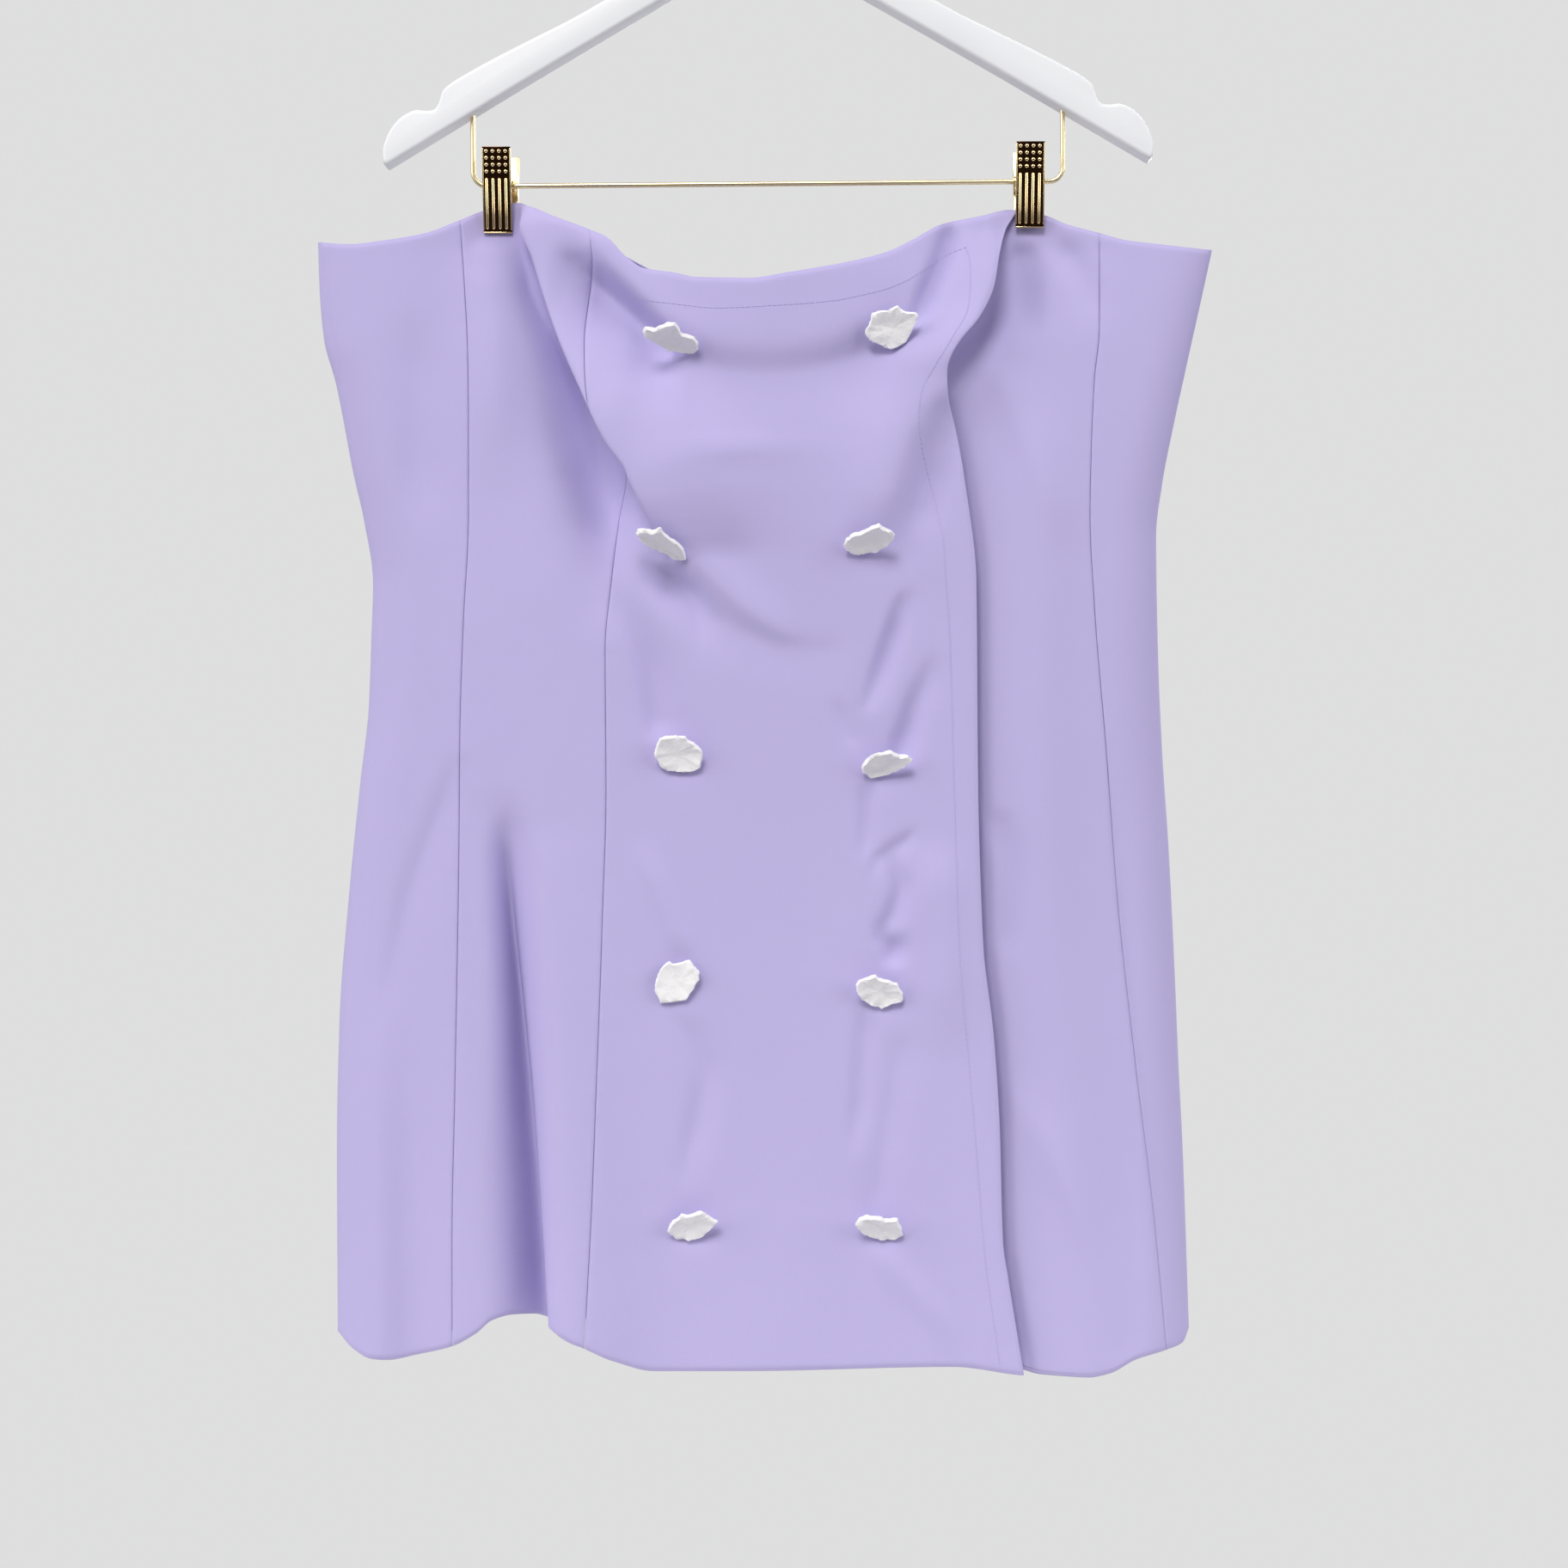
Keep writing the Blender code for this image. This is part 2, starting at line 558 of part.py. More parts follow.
def box(shape, low, high):
    """Adds a box between two corners, in millimetres."""
    size = [high[k] - low[k] for k in range(3)]
    middle = [(high[k] + low[k]) / 2 for k in range(3)]
    matrix = Matrix.Translation(Vector(middle) * MM) @ Matrix.Diagonal(Vector((*size, 1000)) * MM)
    bmesh.ops.create_cube(shape, size=1, matrix=matrix)


def join_shapes(body, tool):
    """Makes one body of an object and a helper that overlaps it."""
    union = body.modifiers.new("joined", "BOOLEAN")
    union.operation = "UNION"
    union.object = tool
    tool.hide_render = True
    tool.display_type = "WIRE"


def clip_jaw(clip, end, grip, shift, into, cutters, finish):
    """One jaw of a clip: a pressed plate with ribs outside and two flanges that reach its barrel."""
    height = JAW_ABOVE + JAW_BELOW
    tilt = math.atan2(JAW_SPREAD - grip, height)
    inner = grip + JAW_CLEARANCE
    to_axis = (inner + JAW_BELOW * math.tan(tilt)) * math.cos(tilt)
    flange = to_axis - BARREL_RADIUS - 0.35
    half = JAW_WIDTH / 2
    plate = bmesh.new()
    box(plate, (-half, -JAW_THICKNESS, -JAW_BELOW), (half, 0, JAW_ABOVE))
    extras = bmesh.new()
    for rib in range(RIBS):
        x = (rib - (RIBS - 1) / 2) * RIB_PITCH
        wide, proud, long = RIB_SIZE
        top = JAW_ABOVE - 17
        box(extras, (x - wide / 2, -JAW_THICKNESS - proud, top - long), (x + wide / 2, -JAW_THICKNESS / 2, top))
    for side in (-1, 1):
        edges = sorted((side * (half - 0.15), side * (half - 0.15 - JAW_THICKNESS)))
        box(extras, (edges[0], -JAW_THICKNESS / 2, -FLANGE_BELOW), (edges[1], flange, FLANGE_ABOVE))
    body = mesh_object(f"clip_{clip.name}_{end}_jaw", plate, into, finish)
    tool = mesh_object(f"clip_{clip.name}_{end}_ribs", extras, cutters, finish)
    facing = 0 if end == "front" else math.pi
    low_edge = Matrix.Translation(Vector((0, 0, JAW_BELOW * MM)))
    turned = Matrix.Rotation(facing, 4, "Z") @ Matrix.Translation(Vector((0, -inner, -JAW_BELOW)) * MM)
    matrix = turned @ Matrix.Rotation(tilt, 4, "X") @ low_edge
    matrix = Matrix.Translation(Vector((clip.x + shift, 0, -bar_drop_at(clip.x))) * MM) @ matrix
    body.matrix_world = matrix
    tool.matrix_world = matrix
    join_shapes(body, tool)


def bar_drop_at(x):
    """Drop of the bar, which is rolled with the hanger."""
    return BAR_DROP - x * math.sin(ROLL)


def clip_barrel(clip, into, finish):
    """The sleeve round the bar that carries both jaws."""
    mesh = bpy.data.meshes.new(f"clip_{clip.name}_barrel")
    half = BARREL_LENGTH / 2
    bore = BAR_RADIUS + 0.35
    profile = [(BARREL_RADIUS, half), (BARREL_RADIUS, -half), (bore, -half), (bore, half)]
    mesh.from_pydata([(radius * MM, 0, z * MM) for radius, z in profile], [(0, 1), (1, 2), (2, 3), (3, 0)], [])
    made = add_object(mesh.name, mesh, into, finish)
    turn = made.modifiers.new("turned", "SCREW")
    turn.steps = 14
    turn.render_steps = 14
    turn.use_merge_vertices = True
    turn.merge_threshold = 0.00001
    made.matrix_world = (
        Matrix.Translation(Vector((clip.x, 0, -bar_drop_at(clip.x))) * MM)
        @ Matrix.Rotation(-ROLL, 4, "Y")
        @ Matrix.Rotation(math.pi / 2, 4, "Y")
    )


def wire(name, points, radius, into, finish):
    """A round wire through points of x and drop, in the hanger's plane."""
    curve = bpy.data.curves.new(name, "CURVE")
    curve.dimensions = "3D"
    curve.bevel_depth = radius * MM
    curve.bevel_resolution = 2
    curve.use_fill_caps = True
    spline = curve.splines.new("POLY")
    spline.points.add(len(points) - 1)
    for point, (x, drop) in zip(spline.points, points):
        point.co = (x * MM, 0, -drop * MM, 1)
    return add_object(name, curve, into, finish)


def roll(made):
    """Tips an object a little about the middle of the hanger, as the photographed one hangs."""
    centre = Matrix.Translation(Vector((0, 0, -ROLL_DROP)) * MM)
    made.matrix_world = centre @ Matrix.Rotation(-ROLL, 4, "Y") @ centre.inverted()


def bend(x, drop, radius, first, last, count):
    """Points of an arc about x and drop; angles in degrees turn up from the viewer's right."""
    angles = [math.radians(first + (last - first) * k / count) for k in range(count + 1)]
    return [(x + radius * math.cos(t), drop - radius * math.sin(t)) for t in angles]


def clip_bar(into, finish):
    """The bar that carries the clips, with an upright at each end."""
    inner = BAR_HALF - BAR_BEND
    turn = BAR_DROP - BAR_BEND
    left = bend(-inner, turn, BAR_BEND, 180, 270, 5)
    right = bend(inner, turn, BAR_BEND, 270, 360, 5)
    points = [(-BAR_HALF, BAR_TOP), *left, *right, (BAR_HALF, BAR_TOP)]
    roll(wire("clip_bar", points, BAR_RADIUS, into, finish))


def hook(into, finish):
    """The hook, whose inner top is the origin."""
    arc = bend(0, HOOK_INNER, HOOK_INNER + HOOK_WIRE, HOOK_START, HOOK_END, 20)
    wire("hook", [*arc, *HOOK_STEM], HOOK_WIRE, into, finish)


def hanger_body(into, finish):
    """The wooden hanger: one outline mirrored about the hook, with softened edges."""
    right = HANGER_UPPER + HANGER_LOWER
    outline = right + [(-x, drop) for x, drop in reversed(right) if x > 0]
    shape = bmesh.new()
    half = HANGER_THICKNESS / 2
    ring = [shape.verts.new((x * MM, -half * MM, -drop * MM)) for x, drop in outline]
    flat = shape.faces.new(ring)
    made = bmesh.ops.extrude_face_region(shape, geom=[flat])
    moved = [item for item in made["geom"] if isinstance(item, bmesh.types.BMVert)]
    bmesh.ops.translate(shape, verts=moved, vec=(0, HANGER_THICKNESS * MM, 0))
    body = mesh_object("hanger_body", shape, into, finish)
    roll(body)
    rounded = body.modifiers.new("softened", "BEVEL")
    rounded.width = HANGER_EDGE * MM
    rounded.segments = 2
    rounded.limit_method = "ANGLE"
    rounded.angle_limit = math.radians(60)


def main():
    for old in list(bpy.data.objects):
        bpy.data.objects.remove(old, do_unlink=True)
    parts = collection("strapless dress on a clip hanger")
    cutters = collection("cutters")
    walls = {}
    for panel in PANELS:
        walls[panel.name] = panel_wall(panel, parts, material(f"{panel.name} cloth", LILAC, 0.85, 0.0))
    wrapped = walls["front_overlap"].data
    faces = [face.vertices for face in wrapped.polygons]
    tree = BVHTree.FromPolygons([corner.co for corner in wrapped.vertices], faces)
    for button in BUTTONS:
        button_nugget(button, tree, parts, material(f"{button.name} chalk", CHALK, 0.7, 0.0))
    for clip in CLIPS:
        for end, grip, shift in (("front", clip.front_grip, 0.0), ("rear", clip.back_grip, clip.rear_shift)):
            gold = material(f"clip {clip.name} {end} gold", GOLD, 0.2, 1.0)
            clip_jaw(clip, end, grip, shift, parts, cutters, gold)
        clip_barrel(clip, parts, material(f"clip {clip.name} barrel gold", GOLD, 0.25, 1.0))
    clip_bar(parts, material("bar gold", GOLD, 0.2, 1.0))
    hook(parts, material("hook gold", GOLD, 0.2, 1.0))
    hanger_body(parts, material("hanger paint", PAINT, 0.4, 0.0))


main()
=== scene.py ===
# %% [markdown]
# A strapless mini dress with a wrapped front and ten rough white buttons, held by two gold clips
# on a white wooden hanger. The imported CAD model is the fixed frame: its cloth panels, clips, wires
# and hanger say where everything is. The cells below replace them with finer forms and finishes.

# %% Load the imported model
import json
import math
from collections import namedtuple

import bmesh
import bpy
import numpy as np
from mathutils import Matrix, Vector, noise
from mathutils.bvhtree import BVHTree

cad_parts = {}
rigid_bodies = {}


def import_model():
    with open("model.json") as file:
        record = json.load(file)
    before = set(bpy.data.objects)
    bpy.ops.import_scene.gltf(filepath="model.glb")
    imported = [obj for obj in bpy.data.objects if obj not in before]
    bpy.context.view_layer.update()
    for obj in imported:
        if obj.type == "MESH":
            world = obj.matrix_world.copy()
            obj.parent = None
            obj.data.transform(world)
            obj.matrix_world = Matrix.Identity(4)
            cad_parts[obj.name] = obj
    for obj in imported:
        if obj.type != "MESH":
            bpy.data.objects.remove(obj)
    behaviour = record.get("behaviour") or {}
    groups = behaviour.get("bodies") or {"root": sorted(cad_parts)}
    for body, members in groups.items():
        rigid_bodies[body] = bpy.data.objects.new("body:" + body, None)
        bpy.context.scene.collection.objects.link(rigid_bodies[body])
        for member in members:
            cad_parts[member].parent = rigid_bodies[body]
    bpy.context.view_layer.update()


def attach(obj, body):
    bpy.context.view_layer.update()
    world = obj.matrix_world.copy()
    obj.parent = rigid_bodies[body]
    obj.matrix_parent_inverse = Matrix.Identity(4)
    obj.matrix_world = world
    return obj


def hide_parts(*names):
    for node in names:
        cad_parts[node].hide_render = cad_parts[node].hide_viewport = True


for left_over in list(bpy.data.objects):
    bpy.data.objects.remove(left_over, do_unlink=True)
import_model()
MM = 0.001

# %% [markdown]
# The garment is measured as it is seen: x runs to the viewer's right of the hook and drop runs down
# from the hook's inner top, in millimetres, both read on the hanger's plane. A point that stands
# forward of that plane moves along the line of sight, so that its seen outline stays where it was
# read. The camera stands at the same viewing point, level, with the picture's width of 912 mm there.

# %% Viewing point and camera
VIEW_X = 9.5
VIEW_DROP = 578.5
VIEW_DISTANCE = 1300.0
VIEW_WIDTH = 912.0


def place(x, drop, forward):
    """Points in millimetres of what is seen at x and drop and stands forward of the hanger's plane."""
    share = forward / VIEW_DISTANCE
    sideways = x + (VIEW_X - x) * share
    up = -(drop + (VIEW_DROP - drop) * share)
    return np.stack([sideways, -forward, up], axis=-1)


def add_camera():
    lens = bpy.data.cameras.new("camera")
    lens.sensor_width = 36.0
    lens.lens = 36.0 * VIEW_DISTANCE / VIEW_WIDTH
    camera = bpy.data.objects.new("camera", lens)
    camera.location = Vector((VIEW_X, -VIEW_DISTANCE, -VIEW_DROP)) * MM
    camera.rotation_euler = (math.pi / 2, 0, 0)
    bpy.context.scene.collection.objects.link(camera)
    bpy.context.scene.camera = camera
    return camera


camera = add_camera()
print("focal length:", round(camera.data.lens, 2), "mm")

# %% [markdown]
# The light is that of a bright room: one soft light from above, which throws the drape's shadow down
# beside it, a window at each side, which keeps the sides pale, a light on the back, and a pale
# room that is dark behind the camera, as a room is behind a photographer. The dark side is what
# polished metal shows, and it leaves the folds their shade. The camera sees the room as an even pale
# wall, which is set by the Light Path node. A small pale floor far below is there for views from
# above. The colours are shown with the Standard view transform, so that a finish has the colour that
# the cloth really has.

# %% Room, floor and lights
WALL_SEEN = (0.735, 0.735, 0.737)
ROOM_LIGHT = (0.93, 0.92, 0.98)
ROOM_STRENGTH = 0.50
DARK_SIDE = 0.22
FLOOR_DROP = 1500.0
FLOOR_RADIUS = 1100.0


def add_room():
    world = bpy.data.worlds.new("pale room")
    world.use_nodes = True
    nodes, links = world.node_tree.nodes, world.node_tree.links
    nodes.clear()
    direction = nodes.new("ShaderNodeTexCoord")
    parts = nodes.new("ShaderNodeSeparateXYZ")
    forward = nodes.new("ShaderNodeMapRange")
    forward.inputs["From Min"].default_value = -0.95
    forward.inputs["From Max"].default_value = -0.25
    forward.inputs["To Min"].default_value = ROOM_STRENGTH * DARK_SIDE
    forward.inputs["To Max"].default_value = ROOM_STRENGTH
    lighting = nodes.new("ShaderNodeBackground")
    lighting.inputs["Color"].default_value = (*ROOM_LIGHT, 1)
    seen = nodes.new("ShaderNodeBackground")
    seen.inputs["Color"].default_value = (*WALL_SEEN, 1)
    path = nodes.new("ShaderNodeLightPath")
    mix = nodes.new("ShaderNodeMixShader")
    output = nodes.new("ShaderNodeOutputWorld")
    links.new(direction.outputs["Generated"], parts.inputs[0])
    links.new(parts.outputs["Y"], forward.inputs["Value"])
    links.new(forward.outputs["Result"], lighting.inputs["Strength"])
    links.new(path.outputs["Is Camera Ray"], mix.inputs[0])
    links.new(lighting.outputs[0], mix.inputs[1])
    links.new(seen.outputs[0], mix.inputs[2])
    links.new(mix.outputs[0], output.inputs["Surface"])
    bpy.context.scene.world = world


def add_sun(name, where, strength, softness, colour):
    """A wide sun that shines from a place towards the middle of the dress."""
    lamp = bpy.data.lights.new(name, "SUN")
    lamp.energy = strength
    lamp.angle = math.radians(softness)
    lamp.color = colour
    made = bpy.data.objects.new(name, lamp)
    made.location = where
    made.rotation_euler = (Vector((0, 0, -0.55)) - Vector(where)).to_track_quat("-Z", "Y").to_euler()
    bpy.context.scene.collection.objects.link(made)


add_room()
bpy.context.scene.view_settings.view_transform = "Standard"
add_sun("ceiling light", (-0.4, -1.5, 0.8), 1.86, 24.0, (1.0, 0.99, 0.96))
add_sun("left window", (-1.7, -0.9, 0.2), 1.05, 40.0, (1.0, 0.99, 0.98))
add_sun("right window", (1.7, -0.9, 0.2), 1.02, 40.0, (0.99, 0.99, 1.0))
add_sun("light on the back", (0.6, 1.9, 0.3), 1.6, 50.0, (1.0, 1.0, 1.0))

# %% [markdown]
# Every finish is made of shader nodes. Two small helpers keep that readable: a Term wraps a socket,
# so that sums on values are written as Python sums, and a Finish starts a material and adds any
# other node by its type, its settings and the values of its sockets.

# %% Helpers for shader nodes
class Term:
    """A value socket in a material. Sums on it add Math nodes."""

    def __init__(self, tree, socket):
        self.tree = tree
        self.socket = socket

    def math(self, operation, first, second=None):
        node = self.tree.nodes.new("ShaderNodeMath")
        node.operation = operation
        for socket, value in zip(node.inputs, (first, second)):
            if isinstance(value, Term):
                self.tree.links.new(value.socket, socket)
            elif value is not None:
                socket.default_value = value
        return Term(self.tree, node.outputs[0])

    def __add__(self, other):
        return self.math("ADD", self, other)

    def __mul__(self, other):
        return self.math("MULTIPLY", self, other)

    def sine(self):
        return self.math("SINE", self)


class Finish:
    """A material while it is being made."""

    def __init__(self, name, constants):
        self.material = bpy.data.materials.new(name)
        self.material.use_nodes = True
        self.tree = self.material.node_tree
        self.shader = self.tree.nodes["Principled BSDF"]
        for socket, value in constants.items():
            self.shader.inputs[socket].default_value = value

    def add(self, kind, settings=None, values=None, output=0):
        """Adds a node of any type and returns one of its outputs."""
        node = self.tree.nodes.new(kind)
        for name, value in (settings or {}).items():
            setattr(node, name, value)
        for name, value in (values or {}).items():
            self.feed(node.inputs[name], value)
        return Term(self.tree, node.outputs[output])

    def feed(self, socket, value):
        if isinstance(value, Term):
            self.tree.links.new(value.socket, socket)
        else:
            socket.default_value = value

    def place(self):
        """Where the surface is, in the object's own metres."""
        return self.add("ShaderNodeTexCoord", output="Object")

    def cloth_map(self):
        """Where the cloth was before it was hung: x and drop in metres."""
        return self.add("ShaderNodeUVMap", {"uv_map": "cloth"})

    def attribute(self, name):
        """A value stored at the points of the mesh."""
        return self.add("ShaderNodeAttribute", {"attribute_name": name}, output="Fac")

    def scaled(self, where, scale):
        return self.add("ShaderNodeMapping", values={"Vector": where, "Scale": scale})

    def noise(self, where, scale, detail=2.0, roughness=0.5):
        values = {"Vector": where, "Scale": scale, "Detail": detail, "Roughness": roughness}
        return self.add("ShaderNodeTexNoise", {"noise_dimensions": "3D"}, values, "Fac")

    def between(self, factor, first, second):
        """A colour between two, by a factor."""
        values = {0: factor, 6: first, 7: second}
        return self.add("ShaderNodeMix", {"data_type": "RGBA"}, values, 2)

    def raise_by(self, height, distance, strength=1.0):
        values = {"Height": height, "Distance": distance, "Strength": strength}
        bumped = self.add("ShaderNodeBump", values=values)
        self.feed(self.shader.inputs["Normal"], bumped)

    def colour(self, value):
        self.feed(self.shader.inputs["Base Color"], value)

    def roughness(self, value):
        self.feed(self.shader.inputs["Roughness"], value)


# %% [markdown]
# The cloth is a smooth matte crepe: tightly spun threads give it a fine pebbled face, and it falls
# softly with broad folds. Its threads follow the cloth's own map, so that they turn with a fold. A
# faint slub down the warp and a slow change of tone keep it from being one flat colour.

# %% Lilac crepe
LILAC = (0.480, 0.425, 0.714, 1)
LILAC_LIGHT = (0.513, 0.456, 0.745, 1)
THREAD = 0.00055


def lilac_crepe():
    crepe = Finish("lilac crepe", {"Roughness": 0.86, "Sheen Weight": 0.10, "Sheen Roughness": 0.45})
    crepe.shader.inputs["Sheen Tint"].default_value = (0.86, 0.82, 1.0, 1)
    crepe.shader.inputs["Specular IOR Level"].default_value = 0.28
    cloth = crepe.cloth_map()
    slub = crepe.noise(crepe.scaled(cloth, (900, 60, 1)), 1.0, 2.0)
    slow = crepe.noise(crepe.scaled(cloth, (9, 6, 1)), 1.0, 2.0)
    tone = slow * 0.7 + slub * 0.3
    crepe.colour(crepe.between(tone, LILAC, LILAC_LIGHT))
    parts = crepe.add("ShaderNodeSeparateXYZ", values={0: cloth}, output="X")
    down = Term(crepe.tree, parts.socket.node.outputs["Y"])
    turn = 2 * math.pi / THREAD
    weave = (parts * turn).sine() * (down * turn).sine()
    pebble = crepe.noise(crepe.scaled(cloth, (1500, 1500, 1)), 1.0, 3.0, 0.6)
    crepe.raise_by(weave * 0.35 + pebble, 0.00016, 0.55)
    return crepe.material


CREPE = lilac_crepe()
print("cloth finish:", CREPE.name)

# %% [markdown]
# The body of the dress is a tube of panels. The front has two side panels, a left panel, the
# wrapped panel that crosses over it, and an underlap that the wrapped panel lies on. The tables give
# the outlines and seams as they hang, and how far the cloth stands out of the hanger's plane. A
# curve without overshoot runs through each table, so that a few rows give a smooth seam.

# %% Outline, seams, top edge and hem
OUTLINE_LEFT = [
    (263, -261.5), (292, -260.5), (320, -258), (346, -251), (400, -240.5), (424, -235),
    (462, -229.5), (494, -230.5), (534, -232), (574, -236.5), (638, -243), (716, -249),
    (788, -250.5), (897, -250),
]
OUTLINE_RIGHT = [
    (268, 258.5), (300, 251.5), (336, 243.5), (373, 235.5), (404, 229.5), (434, 226),
    (500, 227), (560, 229.5), (612, 233), (682, 236.5), (742, 239), (793, 241.5), (894, 245),
]
SEAM_A = [
    (250, -179), (286, -176.5), (326, -174.5), (366, -174), (422, -174), (486, -177),
    (550, -179), (614, -179.5), (762, -182), (841, -183.5), (906, -183.5),
]
SEAM_B = [
    (256, -103), (274, -99), (297, -95.5), (340, -88), (353, -86), (376, -84), (398, -82),
    (426, -86.5), (462, -91), (499, -94.5), (582, -94), (668, -96.5), (773, -99.3), (841, -99.6),
    (906, -99),
]
SEAM_C = [
    (258, 193), (313, 193), (344, 190), (393, 188), (422, 187.5), (474, 190), (560, 197),
    (646, 203.5), (742, 214), (828, 224.5), (908, 232),
]
WRAP_EDGE = [
    (244, 146), (250, 142), (256, 138.5), (270, 135), (288, 132), (308, 123), (320, 114),
    (330, 108.5), (338, 106.5), (353, 107), (372, 110), (400, 114.5), (460, 121.5),
    (578, 122.5), (672, 125.5), (724, 131.5), (776, 135), (845, 137), (866, 140), (921, 149),
]
UNDERLAP_EDGE = [(244, 84), (330, 62), (460, 72), (921, 92)]
BACK_LEFT = [(250, -171), (430, -152), (620, -156), (906, -166)]
BACK_RIGHT = [(250, 166), (430, 148), (620, 154), (906, 166)]
SIDE_SEAM = [(262, -257), (288, -257), (308, -256), (326, -251.5), (349, -249), (375, -245), (386, -243)]
TOP_EDGE = [
    (-261.5, 263.5), (-243, 264.5), (-225, 262.5), (-199, 258), (-179, 250.5), (-165, 245),
    (-145, 240.5), (-136, 242), (-122.5, 247.5), (-103.5, 255.5), (-93, 260.5), (-82.5, 271.5),
    (-71.5, 278.5), (-54, 281), (-42, 283.5), (-11, 284), (13, 280.5), (45, 275), (69, 269),
    (85, 261.5), (101, 253), (124.5, 248), (141, 244.5), (160.5, 246.5), (174, 252.5),
    (193, 258), (207.5, 262), (227.5, 264.5), (258.5, 268),
]
HEM = [
    (-250, 896.5), (-241, 907), (-230, 913), (-221, 913.5), (-205, 910.5), (-183.5, 905.5),
    (-169.5, 898), (-160.5, 890.5), (-148, 887), (-135.5, 886.5), (-127, 888.5), (-115, 893),
    (-106, 901.5), (-100, 906.5), (-89, 914), (-66, 920), (-15, 920), (107.5, 917.5), (148.5, 922.5),
    (186.5, 924.5), (200, 921.5), (214, 913.5), (232, 907.5), (241.5, 903), (245, 894.5),
]
BACK_TOP = [
    (-261.5, 263.5), (-225, 265.5), (-211, 263.5), (-190, 257.5), (-165, 248), (-146, 247),
    (-100, 263), (-50, 287), (0, 298), (50, 293), (100, 270), (140, 248.5), (160, 249.5),
    (174, 256.5), (193, 263), (227, 268), (258.5, 268),
]
BACK_HEM = [
    (-250, 896.5), (-230, 901), (-180, 896), (-152, 883), (-126, 883), (-80, 900), (0, 908),
    (120, 906), (200, 907), (232, 900), (245, 894.5),
]


# %% Curves through the tables
def smooth(knots, values, at, level=False):
    """Curve without overshoot through one value for each knot, or through a row of them.

    Its ends keep the slope of the first and last span, or are level if that is asked for.
    """
    knots = np.asarray(knots, float)
    values = np.asarray(values, float)
    at = np.atleast_1d(np.asarray(at, float))
    step = np.diff(knots)
    slope = (np.diff(values, axis=0).T / step).T
    product = slope[:-1] * slope[1:]
    total = slope[:-1] + slope[1:]
    rising = product > 0
    tangent = np.zeros_like(values)
    tangent[1:-1][rising] = 2 * product[rising] / total[rising]
    if not level:
        tangent[0] = slope[0]
        tangent[-1] = slope[-1]
    i = np.clip(np.searchsorted(knots, at, side="right") - 1, 0, len(knots) - 2)
    lower = (i,) if values.ndim == 1 else (i, np.arange(at.size))
    upper = (i + 1, *lower[1:])
    span = step[i]
    t = np.clip((at - knots[i]) / span, 0, 1)
    rise = values[upper] - values[lower]
    start = tangent[lower] * span
    end = tangent[upper] * span
    return values[lower] + t * (start + t * (3 * rise - 2 * start - end + t * (start + end - 2 * rise)))


def read(rows, at, column=1, level=False):
    """Value of one column of a table at each place of its first column."""
    return smooth([row[0] for row in rows], [row[column] for row in rows], at, level)


def ramp(value):
    """Smooth step from 0 to 1."""
    t = np.clip(value, 0, 1)
    return t * t * (3 - 2 * t)


WAIST_DROP = 462
waist = float(read(OUTLINE_RIGHT, WAIST_DROP)[0] - read(OUTLINE_LEFT, WAIST_DROP)[0])
print("waist between the outlines:", round(waist, 1), "mm")

# %% [markdown]
# The clips hold the cloth flat, and from there it bellies out. The depth tables say how far front
# and back stand out of the hanger's plane, and the sides are rounded off where the cloth turns.

# %% Depth of the front and the back
DEPTH_X = [-212, -157, -80, 0, 85, 152, 212]
FRONT_DEPTH = [
    (240, 9, 4, 20, 34, 20, 5, 9),
    (262, 10, 4, 24, 36, 24, 5, 10),
    (290, 13, 8, 28, 38, 30, 10, 13),
    (330, 17, 15, 32, 40, 34, 18, 17),
    (400, 22, 24, 36, 40, 37, 27, 22),
    (480, 26, 31, 38, 40, 38, 31, 26),
    (600, 29, 35, 38, 38, 38, 34, 29),
    (925, 30, 36, 38, 38, 38, 35, 30),
]
BACK_DEPTH = [
    (240, 8, 3, 12, 22, 12, 3, 8),
    (262, 9, 3, 14, 23, 14, 3, 9),
    (300, 12, 8, 19, 25, 19, 8, 12),
    (400, 18, 18, 24, 27, 24, 18, 18),
    (600, 24, 26, 28, 28, 28, 26, 24),
    (925, 25, 27, 28, 28, 28, 27, 25),
]
SIDE_ROUNDING = 26.0
SEAM_GAP = 0.03


def base_depth(table, x, drop):
    """Depth table read at each point, rounded to 0 where the cloth turns round the sides."""
    columns = np.array([read(table, drop, 1 + k) for k in range(len(DEPTH_X))])
    inside = np.minimum(x - read(OUTLINE_LEFT, drop), read(OUTLINE_RIGHT, drop) - x)
    q = np.clip(1 - inside / SIDE_ROUNDING, 0, 1)
    return smooth(DEPTH_X, columns, x) * np.sqrt(1 - q * q)
